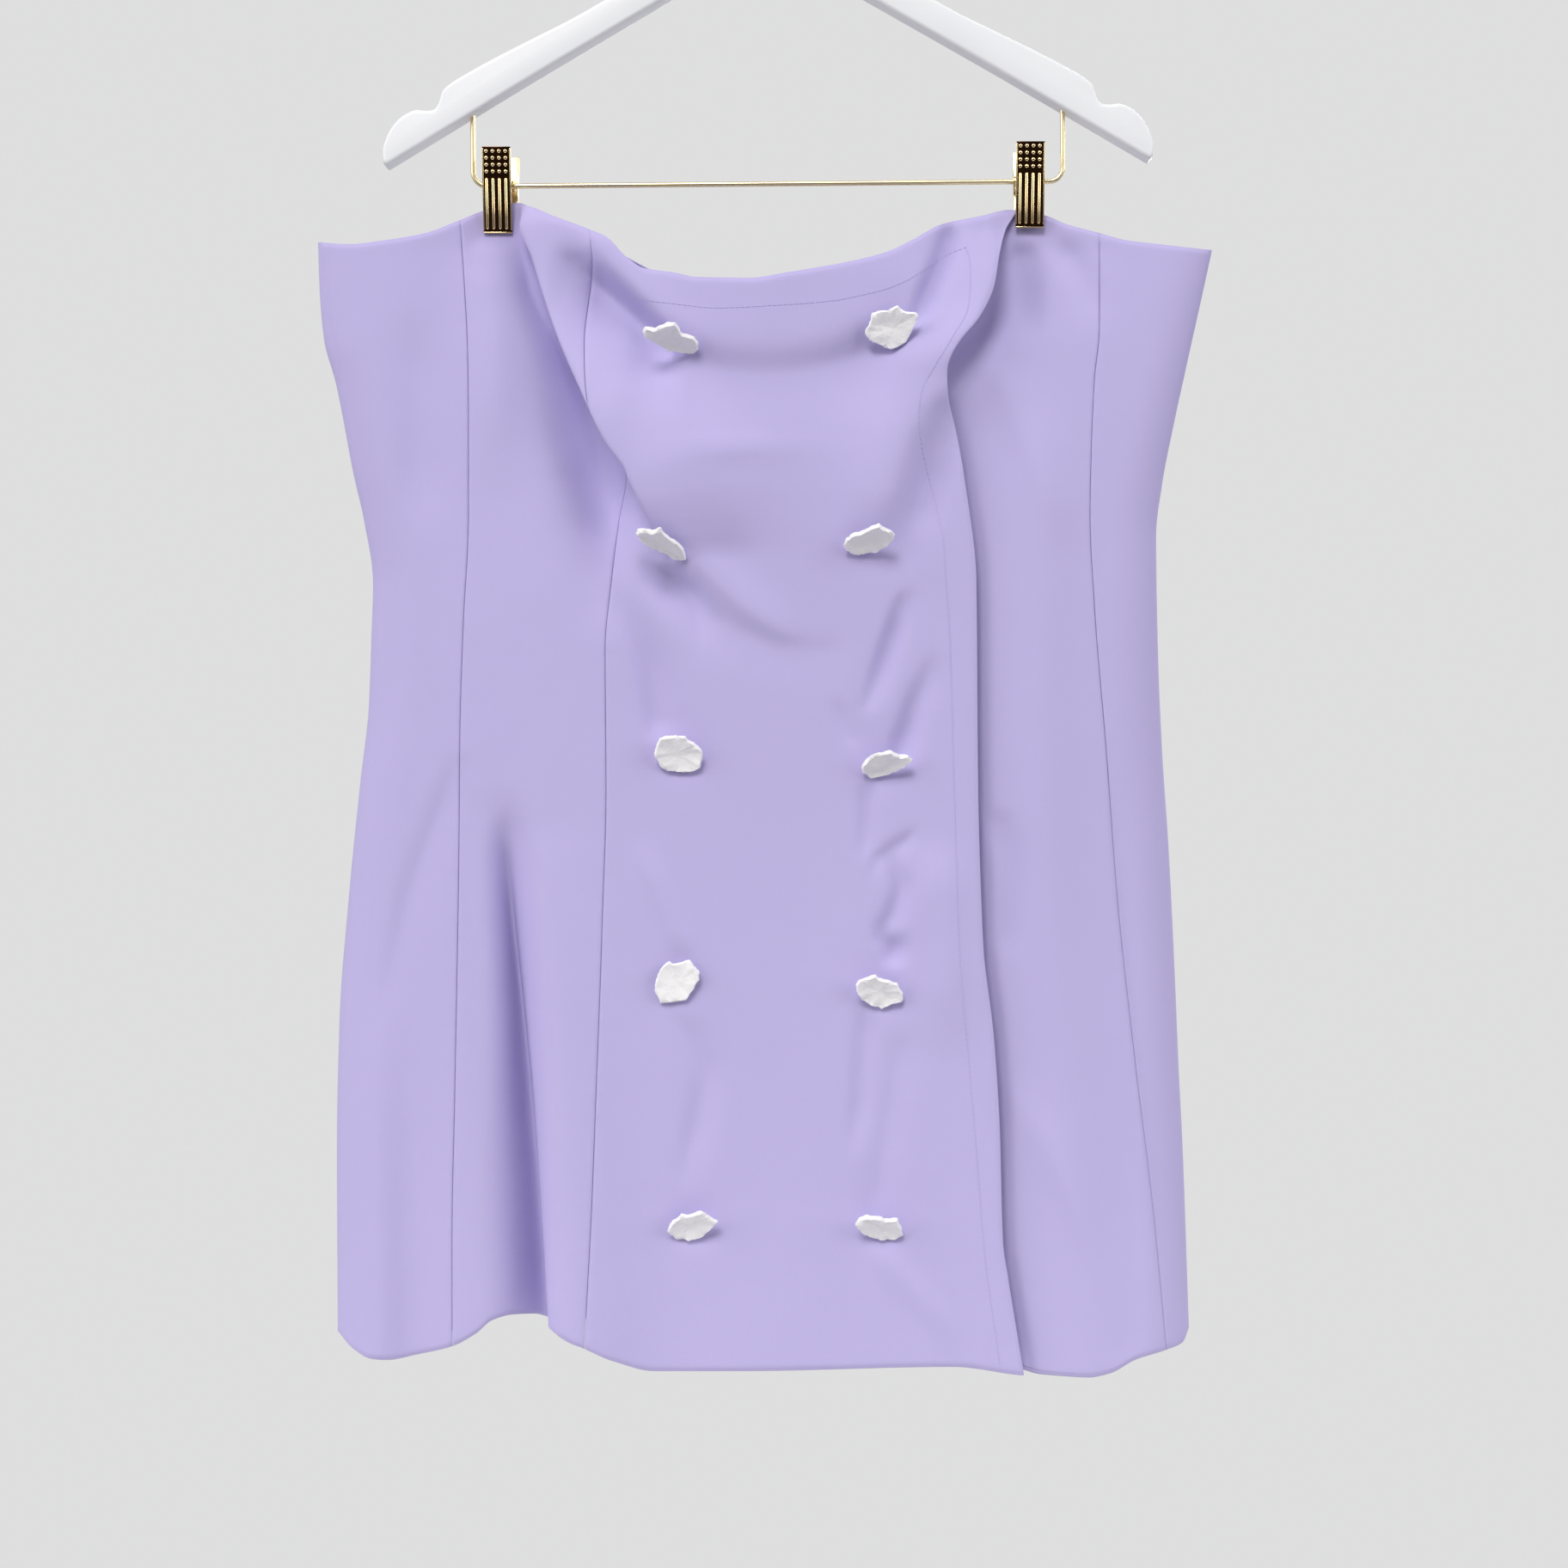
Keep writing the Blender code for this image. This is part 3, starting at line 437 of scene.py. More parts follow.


# %% [markdown]
# Folds are placed one by one, each as a soft ridge or trough along its own line, uneven in length,
# depth and width. Cloth simulation was weighed and left out, because it can't be steered to the
# folds of one hanging dress. The deep drape at the left leans over its own shadow: its crest is
# pushed sideways further than the cloth is wide there, so that the surface folds back under itself.

# %% Folds of the front and the back
Fold = namedtuple("Fold", "runs before after lean rows")
FRONT_FOLDS = {
    "left drape": Fold("down", 8, 42, 20, [
        (241, -145.5, 3), (252, -144, 8), (270, -137, 12), (291.5, -130.5, 15), (315.5, -122.5, 17),
        (353, -106.5, 17), (373, -97, 16.5), (390, -86, 15.5), (404, -79, 14), (418, -72, 11),
        (430, -66, 7), (448, -58, 0)]),
    "beside the left drape": Fold("down", 22, 14, 0, [
        (262, -132, 0), (290, -125, -5), (320, -116, -9), (345, -109, -14), (372, -103, -19),
        (392.5, -97, -21), (422.5, -92, -18), (446, -91, -10), (470, -90, -4), (500, -90, 0)]),
    "under the left drape": Fold("down", 12, 10, 0, [
        (248, -141, 0), (262, -137, -5), (278, -131, -9), (292, -127.5, -12), (315, -119, -13),
        (338, -110.5, -12), (360, -102, -8), (385, -94, -5), (410, -89, -2), (432, -86, 0)]),
    "belly of the drape": Fold("across", 34, 46, 0, [
        (-70, 400, 0), (-45, 392, 1.6), (0, 378, 2.0), (45, 360, 1.8), (80, 343, 0)]),
    "left arm of the valley": Fold("across", 8, 22, 0, [
        (-130, 252, 0), (-118, 264, -5), (-104, 279, -18), (-90, 294, -27), (-76, 308, -25),
        (-62, 320, -13), (-46, 331, 0)]),
    "valley under the top buttons": Fold("across", 13, 34, 0, [
        (-78, 322, 0), (-62, 329, -8), (-46.5, 334, -9), (-21.5, 339.5, -6), (-1.5, 341, -5),
        (28.5, 338, -6), (53.5, 331, -8), (68, 324, -6), (84, 314, 0)]),
    "right valley": Fold("down", 5, 7, 0, [
        (250, 108, -4), (262, 104.5, -7), (275, 100.5, -8), (292, 93, -8), (305, 88.5, -6),
        (318, 83, 0)]),
    "right drape": Fold("down", 30, 18, 3, [
        (296, 124, 0), (322, 113, 4), (348.5, 99, 7), (375, 85, 8.5), (406.5, 73, 8.5), (424, 69, 6.5),
        (456, 60, 0)]),
    "beside the right drape": Fold("down", 11, 12, 0, [
        (346, 112, 0), (366, 105, -5), (386, 98, -8), (402, 94, -9), (416, 90, -8), (436, 83, -4),
        (460, 77, 0)]),
    "under the second button": Fold("across", 7, 13, 0, [
        (-80, 451, 0), (-68, 455, -5), (-56, 461, -9), (-44, 469, -7), (-32, 480, -2), (-20, 488, 0)]),
    "second swag": Fold("across", 8, 18, 0, [
        (-56, 466, 0), (-38.5, 481, -1.4), (-12.5, 492.5, -1.8), (10.5, 500, -1.8), (33.5, 502, -1.2),
        (52, 500, 0)]),
    "ridge over the second swag": Fold("across", 13, 8, 0, [
        (-58, 434, 0), (-46, 445, 3), (-30, 460, 4.2), (-12, 475, 3.4), (8, 488, 1.8), (24, 495, 0)]),
    "crease over the third button": Fold("down", 4, 8, 0, [
        (462, 81, 0), (476, 76.5, -3), (494.5, 70.5, -5.4), (509.5, 65.5, -5), (529.5, 59.5, -2),
        (540, 56, 0)]),
    "crease beside the edge": Fold("down", 5, 8, 0, [
        (500, 98, 0), (517.5, 91, -2.4), (532.5, 84.5, -4.4), (551, 78.5, -6), (562, 75.5, -4.5),
        (572, 73, 0)]),
    "third left trough": Fold("down", 6, 12, 0, [
        (456, -91, 0), (488, -79, -4), (512.5, -70, -5.6), (540, -65, -4.6), (558, -63, 0)]),
    "short crease": Fold("down", 4, 5, 0, [
        (526, 38, 0), (538, 42.5, -1.3), (549, 46.5, -1.3), (560, 51, 0)]),
    "under the third button": Fold("down", 5, 7, 0, [
        (568, 59, 0), (588, 58, -3), (610, 57.5, -2.4), (626, 57, 0)]),
    "short slant": Fold("across", 4, 7, 0, [
        (56, 627, 0), (66, 620.5, -2.4), (78, 613, -2.6), (90, 606, 0)]),
    "crease over the fourth button": Fold("down", 5, 7, 0, [
        (616, 71, 0), (628.5, 73, -2.6), (640, 76, -3.8), (652, 73, -3.8), (666, 67, -3.6),
        (676, 72, -3), (688, 74, 0)]),
    "pocket over the fourth button": Fold("down", 7, 8, 0, [
        (660, 75, 0), (675, 73.5, -3), (688, 71, 0)]),
    "ridge along the edge": Fold("down", 16, 13, 0, [
        (606, 97, 0), (642.5, 99.5, 4.5), (694, 103.5, 4.5), (744, 105, 0)]),
    "below the fourth right button": Fold("down", 5, 9, 0, [
        (704, 56, 0), (724, 55.5, -3), (765, 53, -3), (800, 50, 0)]),
    "below the fourth left button": Fold("down", 7, 10, 0, [
        (704, -58, 0), (726, -45, -2.4), (750, -37, -3.4), (776, -41, -3.2), (800, -46, -1.6),
        (822, -49, 0)]),
    "over the fifth right button": Fold("down", 8, 10, 0, [
        (716, 78, 0), (740, 75, -2), (780, 70, -2.6), (812.5, 66, -2.2), (832, 67, 0)]),
    "skirt trough": Fold("down", 24, 8, 0, [
        (575, -152, 0), (598, -149, -3), (622.5, -144, -10), (662.5, -139, -17), (722.5, -133, -23),
        (769.5, -129, -27), (841, -124.5, -30), (905, -121, -32)]),
    "skirt ridge": Fold("down", 7, 30, 14, [
        (600, -150, 0), (622.5, -147, 2.5), (662.5, -143.5, 6), (722.5, -138, 9), (769.5, -134, 11),
        (841, -129.5, 13), (905, -126, 15)]),
    "skirt crease": Fold("down", 8, 5, 0, [
        (590, -154, 0), (608, -152, -2.5), (630, -149, -6), (672, -144, -7), (722, -140, -6),
        (772, -137, -5), (822, -133, -4), (905, -129, -3)]),
    "beside the skirt crease": Fold("down", 9, 9, 0, [
        (586, -164, 0), (620, -164, 3), (680, -161, 3.6), (740, -158, 2.4), (810, -156, 0)]),
    "left of the side seam": Fold("down", 12, 14, 0, [
        (296, -206, 0), (340, -204, -3), (390, -202, -3), (440, -199, 0)]),
    "slant to the fourth button": Fold("down", 5, 8, 0, [
        (608, -78, 0), (636, -66, 2), (664, -55, 2.2), (684, -48, 0)]),
    "hem slant": Fold("across", 7, 9, 0, [
        (56, 846, 0), (74, 862, 2), (96, 884, 2.4), (118, 908, 0)]),
    "slant of the right side": Fold("down", 10, 14, 0, [
        (744, 140, 0), (790, 164, 2.4), (840, 189, 3.2), (905, 216, 3)]),
    "side crease": Fold("down", 6, 12, 0, [
        (556, -180, 0), (574, -184, -1.6), (600, -193, -2.6), (640, -207, -2.4), (690, -220, -1.4),
        (730, -229, 0)]),
    "side ridge": Fold("down", 16, 15, 0, [(680, -225, 0), (770, -226, 2.5), (915, -228, 4)]),
    "side trough": Fold("down", 14, 15, 0, [(700, -206, 0), (790, -208, -2), (915, -206, -4)]),
    "left fan": Fold("down", 14, 14, 0, [
        (262, -164, 0), (290, -163, 3.5), (340, -160, 4.5), (420, -158, 0)]),
    "underlap fan": Fold("down", 6, 8, 0, [
        (254, 149, 0), (268, 150, -2), (300, 152, -2.4), (330, 154, 0)]),
    "clip fan": Fold("down", 8, 8, 0, [(256, 168, 0), (272, 176, -3), (292, 186, -2.4), (316, 191, 0)]),
    "right slope": Fold("down", 22, 20, 0, [
        (330, 160, 0), (420, 156, 5), (560, 158, 5), (760, 172, 4), (915, 186, 4)]),
    "right hollow": Fold("down", 7, 9, 0, [
        (590, 133, 0), (603.5, 135.5, -1.8), (629, 142.5, -2), (663.5, 140, -1.8), (684, 139, 0)]),
    "underlap slant": Fold("down", 9, 16, 0, [
        (326, 132, 0), (350, 141, 2), (410, 164, 2.2), (452, 181, 0)]),
    "beside the right seam": Fold("down", 3, 10, 0, [
        (540, 198, 0), (620, 204, -1.8), (742, 217, -2), (828, 227, -1.6), (890, 232, 0)]),
}
BACK_FOLDS = {
    "left drape": Fold("down", 14, 32, 6, [
        (256, -138, 0), (290, -122, 8), (340, -98, 10), (400, -70, 6), (450, -52, 0)]),
    "right drape": Fold("down", 32, 14, 0, [
        (256, 136, 0), (292, 120, 7), (350, 96, 9), (410, 66, 5), (456, 50, 0)]),
    "swag": Fold("across", 14, 24, 0, [
        (-70, 322, 0), (-36, 344, -5), (8, 352, -7), (44, 338, -4), (74, 318, 0)]),
    "left skirt": Fold("down", 22, 18, 0, [
        (560, -92, 0), (680, -96, -6), (800, -98, -9), (905, -100, -10)]),
    "right skirt": Fold("down", 20, 24, 0, [
        (600, 84, 0), (720, 88, -6), (830, 92, -8), (905, 94, -9)]),
    "middle": Fold("down", 30, 30, 0, [(520, 6, 0), (640, 8, 4), (905, 10, 6)]),
    "left side": Fold("down", 14, 14, 0, [(640, -206, 0), (760, -208, -4), (905, -208, -6)]),
    "right side": Fold("down", 14, 14, 0, [(560, 198, 0), (700, 201, -4), (905, 206, -5)]),
}


# %% Shape of one fold
def fold_move(fold, x, drop):
    """Forward, sideways and downward move of the cloth at one fold."""
    along, across = (drop, x) if fold.runs == "down" else (x, drop)
    line = read(fold.rows, along)
    slope = (read(fold.rows, along + 1) - read(fold.rows, along - 1)) / 2
    height = read(fold.rows, along, 2, level=True)
    cosine = 1 / np.sqrt(1 + slope * slope)
    share = height / max(abs(row[2]) for row in fold.rows)
    distance = (across - line) * cosine - fold.lean * share
    forward = height * np.exp(-((distance / np.where(distance < 0, fold.before, fold.after)) ** 2))
    reach = np.where(distance < 0, fold.before, min(fold.after, 16))
    push = -fold.lean * share * np.exp(-((distance / reach) ** 2)) * cosine
    if fold.runs == "down":
        return forward, push, -push * slope
    return forward, -push * slope, push


print("front folds:", len(FRONT_FOLDS), "back folds:", len(BACK_FOLDS))

# %% [markdown]
# A seam is a narrow groove where both edges turn in, with faint puckers beside it. The top edge and
# hem are folded edges, so the face curls in over the last two millimetres. A slow unevenness keeps
# the broad areas from looking machined.

# %% Seams, edges and unevenness
Clip = namedtuple("Clip", "name x front_grip back_grip rear_shift")
CLIPS = [Clip("left", -156.5, 1.9, 1.7, 2.5), Clip("right", 151.75, 3.9, 1.7, 0.0)]
JAW_WIDTH = 16.5
JAW_ABOVE = 20.8
JAW_BELOW = 28.0
BAR_DROP = 229.5
SEAM_DEPTH = 0.7
SEAM_WIDTH = 0.8
SEAM_FADE = 8
PUCKER = 0.08
PUCKER_PITCH = 1.9
PUCKER_WIDTH = 4.5
EDGE_CURL = 1.3
CURL_WIDTH = 1.5
PINCH_MARGIN = 2.0
PINCH_FADE = 12.0
LEAST_DEPTH = 1.5
LEAST_WIDTH = 12
TURN_WIDTH = 4
FRONT_SEAMS = [SEAM_A, SEAM_B, SEAM_C, SIDE_SEAM]
BACK_SEAMS = [BACK_LEFT, BACK_RIGHT]


def seam_press(seams, x, drop):
    """How far the face is pulled in at the seams."""
    pressed = np.zeros_like(x)
    for seam in seams:
        distance = np.abs(x - read(seam, drop))
        begun = ramp((drop - seam[0][0] + 12) / SEAM_FADE)
        within = begun * ramp((seam[-1][0] - drop + 20) / SEAM_FADE)
        waves = np.sin(drop / PUCKER_PITCH + 2 * np.sin(drop / 23))
        pucker = waves * np.exp(-((distance / PUCKER_WIDTH) ** 2))
        groove = SEAM_DEPTH * np.exp(-((distance / SEAM_WIDTH) ** 2))
        pressed = pressed + within * (groove + PUCKER * pucker)
    return pressed


def edge_curl(top, hem, x, drop):
    """How far the face curls in at the folded top edge and hem."""
    upper = np.exp(-((np.maximum(drop - read(top, x), 0) / CURL_WIDTH) ** 2))
    lower = np.exp(-((np.maximum(read(hem, x) - drop, 0) / CURL_WIDTH) ** 2))
    return EDGE_CURL * (upper + lower)


def unevenness(x, drop):
    """Slow, shallow waves that never repeat."""
    broad = np.sin(x / 27 + 1.4 * np.sin(drop / 71)) * np.sin(drop / 58 + np.sin(x / 43))
    fine = np.sin(x / 8.3 + 1.1 * np.sin(drop / 17)) * np.sin(drop / 13.1 + 1.7 * np.sin(x / 21))
    return 0.40 * broad + 0.08 * fine


def pinch(clip, x, drop):
    """1 where a clip holds the cloth flat, fading to 0 around it."""
    beside = np.abs(x - clip.x) - JAW_WIDTH / 2 - PINCH_MARGIN
    below = drop - (BAR_DROP + JAW_BELOW) - PINCH_MARGIN
    outside = np.hypot(np.maximum(beside, 0), np.maximum(below, 0))
    return 1 - ramp(outside / PINCH_FADE)


# %% Face of the cloth
def cloth(x, drop, folds, table, grips, seams, top, hem):
    """Outer face of the cloth with its folds and seams, flat where the clips hold it."""
    forward = SEAM_GAP + base_depth(table, x, drop) + unevenness(x, drop)
    sideways = np.zeros_like(x)
    down = np.zeros_like(x)
    for fold in folds.values():
        moves = fold_move(fold, x, drop)
        forward = forward + moves[0]
        sideways = sideways + moves[1]
        down = down + moves[2]
    inside = np.minimum(x - read(OUTLINE_LEFT, drop), read(OUTLINE_RIGHT, drop) - x)
    forward = np.maximum(forward, SEAM_GAP + LEAST_DEPTH * ramp(inside / LEAST_WIDTH))
    for clip, grip in zip(CLIPS, grips):
        held = pinch(clip, x, drop)
        forward = forward * (1 - held) + grip * held
        sideways = sideways * (1 - held)
        down = down * (1 - held)
    turned = ramp(inside / TURN_WIDTH)
    pressed = seam_press(seams, x, drop) + edge_curl(top, hem, x, drop)
    return x + sideways, drop + down, forward - pressed * turned * np.clip(forward / TURN_WIDTH, 0, 1)


# %% [markdown]
# The wrapped panel's free edge flares forward under the right clip and leaves a deep shadow, then
# rolls over and lies nearly flat down to the hem. The cloth under it is hollowed there. Each button's
# thread pulls a small hollow into the panel round its shank.

# %% Wrapped edge and the cloth under it
EDGE_LIFT = [
    (244, 0), (254, 2), (266, 8), (285, 13), (308, 15), (326, 12), (345, 6), (370, 3.5),
    (450, 3.5), (925, 4),
]
EDGE_HOLLOW = [(250, 0), (275, 6), (306, 11), (335, 9), (380, 4), (470, 0.6), (925, 0.6)]
EDGE_SHADOW = [(330, 0), (400, 3), (925, 4)]
LIFT_WIDTH = 22.0
HOLLOW_WIDTH = 30.0
SHADOW_WIDTH = 5.0
LAYER_GAP = 2.8
HIDDEN_GAP = 1.6
UNDERLAP_AT_CLIP = 2.2
EDGE_ROLL = 0.9
ROLL_WIDTH = 1.6
FRONT_GRIPS = [clip.front_grip for clip in CLIPS]
BACK_GRIPS = [clip.back_grip for clip in CLIPS]

# %% Hollows round the buttons
BUTTON_PLACES = {
    "button_1_left": (-56, 319.5), "button_2_left": (-61.5, 440), "button_3_left": (-51.5, 561),
    "button_4_left": (-52.5, 693.5), "button_5_left": (-43.5, 835), "button_1_right": (72, 314),
    "button_2_right": (59.5, 436.5), "button_3_right": (69, 567), "button_4_right": (65, 699),
    "button_5_right": (65.5, 836.5),
}
HOLLOW_DEPTH = 2.2
HOLLOW_REACH = 9.5
HOLLOW_ASPECT = 1.35
HOLLOW_BELOW = 2.0


def hollows(x, drop):
    """How far the threads of the buttons pull the cloth in around them."""
    pulled = np.zeros_like(x)
    for at in BUTTON_PLACES.values():
        reach = np.hypot((x - at[0]) / HOLLOW_ASPECT, drop - at[1] - HOLLOW_BELOW) / HOLLOW_REACH
        pulled = pulled + HOLLOW_DEPTH * np.exp(-(reach ** 2))
    return pulled


# %% Faces
def front(x, drop):
    """Points of the front's outer face."""
    return place(*cloth(x, drop, FRONT_FOLDS, FRONT_DEPTH, FRONT_GRIPS, FRONT_SEAMS, TOP_EDGE, HEM))


def back(x, drop):
    """Points of the back's outer face."""
    x, drop, behind = cloth(x, drop, BACK_FOLDS, BACK_DEPTH, BACK_GRIPS, BACK_SEAMS, BACK_TOP, BACK_HEM)
    return place(x, drop, -behind)


def overlap(x, drop):
    """The wrapped panel, whose edge flares forward under the right clip."""
    x, drop, forward = cloth(x, drop, FRONT_FOLDS, FRONT_DEPTH, FRONT_GRIPS, FRONT_SEAMS, TOP_EDGE, HEM)
    inside = np.maximum(read(WRAP_EDGE, drop) - x, 0)
    lift = read(EDGE_LIFT, drop) * np.exp(-((inside / LIFT_WIDTH) ** 2))
    rolled = EDGE_ROLL * np.exp(-((inside / ROLL_WIDTH) ** 2)) * ramp((drop - 262) / 20)
    return place(x, drop, forward + lift - rolled - hollows(x, drop))


def underlap_depth(x, drop):
    """How far the cloth under the wrapped edge lies behind the front's face."""
    edge = read(WRAP_EDGE, drop)
    outside = ramp((x - edge) / (read(SEAM_C, drop) - edge))
    hollow = read(EDGE_HOLLOW, drop) * np.exp(-(((x - edge) / HOLLOW_WIDTH) ** 2))
    shadow = read(EDGE_SHADOW, drop) * np.exp(-(((x - edge) / SHADOW_WIDTH) ** 2))
    hidden = HIDDEN_GAP * ramp((edge - x) / HOLLOW_WIDTH)
    depth = (LAYER_GAP + hidden + hollow + shadow) * (1 - outside)
    held = pinch(CLIPS[1], x, drop)
    return depth * (1 - held) + UNDERLAP_AT_CLIP * held


# %% [markdown]
# Each panel is a fine grid between its left and right seam and between top edge and hem. Columns and
# rows crowd at the edges, where the cloth turns, and rows are closer in the draped upper half. The
# grid is given a second layer behind it and a rim, which makes it a thin closed shell, and it keeps
# its place on the uncut cloth as a map for the threads.

# %% Panels
Panel = namedtuple("Panel", "name face facing left right open_side pitch top hem rests")
PANELS = [
    Panel("side_front_left", front, -1, OUTLINE_LEFT, SEAM_A, "left", 2.1,
          TOP_EDGE, HEM, "clip_left_front_jaw"),
    Panel("front_left", front, -1, SEAM_A, SEAM_B, None, 1.6,
          TOP_EDGE, HEM, "clip_left_front_jaw"),
    Panel("front_overlap", overlap, -1, SEAM_B, WRAP_EDGE, None, 2.0,
          TOP_EDGE, HEM, "clip_right_front_jaw"),
    Panel("front_underlap", front, -1, UNDERLAP_EDGE, SEAM_C, None, 2.4,
          TOP_EDGE, HEM, "clip_right_front_jaw"),
    Panel("side_front_right", front, -1, SEAM_C, OUTLINE_RIGHT, "right", 2.1,
          TOP_EDGE, HEM, "clip_right_front_jaw"),
    Panel("side_back_left", back, 1, OUTLINE_LEFT, BACK_LEFT, "left", 3.4,
          BACK_TOP, BACK_HEM, "clip_left_rear_jaw"),
    Panel("back", back, 1, BACK_LEFT, BACK_RIGHT, None, 3.4,
          BACK_TOP, BACK_HEM, "clip_right_rear_jaw"),
    Panel("side_back_right", back, 1, BACK_RIGHT, OUTLINE_RIGHT, "right", 3.4,
          BACK_TOP, BACK_HEM, "clip_right_rear_jaw"),
]
SHELL = 1.1
MEET = 0.08
LENGTH = 650.0
MIDDLE_DROP = 560
UPPER_SHARE = 0.36
UPPER_ROWS = 134
LOWER_ROWS = 166
FRONT_PITCH = 2.1
EDGE_STEPS = [0.0, 0.35, 0.8, 1.4, 2.3, 3.6]


def steps_across(panel):
    """Places across a panel from 0 to 1, crowded at its edges and towards the garment's open side."""
    width = float(read(panel.right, MIDDLE_DROP)[0] - read(panel.left, MIDDLE_DROP)[0])
    count = round(width / panel.pitch)
    if panel.open_side:
        quarter = np.arange(count + 1) / count
        even = 1 - np.cos(quarter * math.pi / 2)
        seam = [1 - step / width for step in EDGE_STEPS]
        even = np.append(even[even < min(seam) - 0.01], sorted(seam))
        return even if panel.open_side == "left" else 1 - even[::-1]
    edge = np.array(EDGE_STEPS) / width
    middle = np.linspace(edge[-1], 1 - edge[-1], count)[1:-1]
    return np.concatenate([edge, middle, 1 - edge[::-1]])


def steps_down(panel):
    """Places down a panel from 0 to 1, closer in the draped upper half."""
    coarser = panel.pitch / FRONT_PITCH if panel.face is back else 1.0
    upper = np.linspace(0, UPPER_SHARE, round(UPPER_ROWS / coarser))
    lower = np.linspace(UPPER_SHARE, 1, round(LOWER_ROWS / coarser))[1:]
    edge = np.array(EDGE_STEPS) / LENGTH
    middle = np.concatenate([upper, lower])
    middle = middle[(middle > edge[-1] + 0.001) & (middle < 1 - edge[-1] - 0.001)]
    return np.concatenate([edge, middle, 1 - edge[::-1]])


def panel_places(panel, share, v):
    """x and drop of a panel's points, share across and v down, both from 0 to 1."""
    gap_left = 0 if panel.open_side == "left" else MEET
    gap_right = 0 if panel.open_side == "right" else MEET
    x = share * 0
    for _ in range(8):
        drop = read(panel.top, x) * (1 - v) + read(panel.hem, x) * v
        left = read(panel.left, drop) + gap_left
        right = read(panel.right, drop) - gap_right
        x = left * (1 - share) + right * share
    return x, drop


# %% Shell from a grid
def grid_normals(points, facing):
    """Unit normals of a grid of points, out of the garment."""
    down, across = np.gradient(points, axis=(0, 1))
    normal = np.cross(across, down) * facing
    return normal / np.maximum(np.linalg.norm(normal, axis=2), 1e-9)[..., None]


def shell_mesh(name, outer, inner, flat_places, facing):
    """A closed thin shell from two grids of points, with a map of the uncut cloth."""
    rows, columns = outer.shape[:2]
    count = rows * columns
    index = np.arange(count).reshape(rows, columns)
    corners = [index[:-1, :-1], index[:-1, 1:], index[1:, 1:], index[1:, :-1]]
    quads = np.stack([corner.ravel() for corner in corners], axis=1)
    if facing < 0:
        quads = quads[:, ::-1]
    border = np.concatenate([index[0, :], index[1:, -1], index[-1, -2::-1], index[-2:0:-1, 0]])
    rim = np.stack([border, np.roll(border, -1), np.roll(border, -1) + count, border + count], axis=1)
    if facing > 0:
        rim = rim[:, ::-1]
    faces = np.concatenate([quads, quads[:, ::-1] + count, rim])
    points = np.concatenate([outer.reshape(-1, 3), inner.reshape(-1, 3)]) * MM
    mesh = bpy.data.meshes.new(name)
    mesh.from_pydata(points.tolist(), [], faces.tolist())
    layer = mesh.uv_layers.new(name="cloth")
    places = np.concatenate([flat_places.reshape(-1, 2)] * 2) * MM
    layer.data.foreach_set("uv", places[faces.ravel()].ravel())
    mesh.shade_smooth()
    return mesh


def volume(mesh):
    """Signed volume in cubic millimetres, above 0 when the faces point outwards."""
    shape = bmesh.new()
    shape.from_mesh(mesh)
    value = shape.calc_volume(signed=True) * 1e9
    shape.free()
    return value


def link(name, mesh, material):
    made = bpy.data.objects.new(name, mesh)
    bpy.context.scene.collection.objects.link(made)
    mesh.materials.append(material)
    return made


# %% Cloth panels
def panel_shell(panel):
    """One cloth panel as a thin closed shell."""
    across = steps_across(panel)
    down = steps_down(panel)
    v, share = np.meshgrid(down, across, indexing="ij")
    x, drop = panel_places(panel, share.ravel(), v.ravel())
    outer = panel.face(x, drop).reshape(*v.shape, 3)
    normal = grid_normals(outer, panel.facing)
    if panel.name == "front_underlap":
        outer = outer - normal * underlap_depth(x, drop).reshape(*v.shape, 1)
    inner = outer - normal * SHELL
    flat_places = np.stack([x, -drop], axis=1)
    mesh = shell_mesh(f"{panel.name}_cloth", outer, inner, flat_places, panel.facing)
    made = link(f"{panel.name}_cloth", mesh, CREPE)
    steps = np.linalg.norm(np.cross(np.diff(outer, axis=0)[:, :-1], np.diff(outer, axis=1)[:-1]), axis=2)
    area = float(steps.sum()) * MM * MM
    width = float(np.linalg.norm(np.diff(outer, axis=1), axis=2).sum(axis=1).max()) * MM
    length = float(np.linalg.norm(np.diff(outer, axis=0), axis=2).sum(axis=0).max()) * MM
    print(made.name, "faces", len(mesh.polygons), "volume", round(volume(mesh)), "area", round(area, 4))
    return made, (width, length), area


SOLIDS = {"side_back_left": ["side_back_left_upper", "side_back_left_lower"]}
CLOTHS = {}
for panel in PANELS:
    made, flat, area = panel_shell(panel)
    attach(made, "root")
    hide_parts(*SOLIDS.get(panel.name, [panel.name]))
    CLOTHS[panel.name] = made

# %% [markdown]
# The buttons are rough nuggets of matte white plaster-like resin, each cast with its own outline: a
# jagged upper rim, a smooth lower edge and a nearly flat face. They tip forward on a thread shank.
# Each outline is a short table read as it is seen; the face is then turned back by its lean, so that
# the nugget shows that outline from the front and is a real tilted slab from every other side.

# %% Chalky white of the buttons
def chalk():
    made = Finish("chalky white resin", {"Roughness": 0.82, "Specular IOR Level": 0.3})
    where = made.place()
    pits = made.noise(where, 900.0, 4.0, 0.65)
    lumps = made.noise(where, 260.0, 3.0, 0.55)
    made.colour(made.between(pits * 0.6 + lumps * 0.4, (0.82, 0.805, 0.815, 1), (0.97, 0.96, 0.965, 1)))
    made.raise_by(pits * 0.45 + lumps, 0.0007, 0.8)
    return made.material


CHALK = chalk()

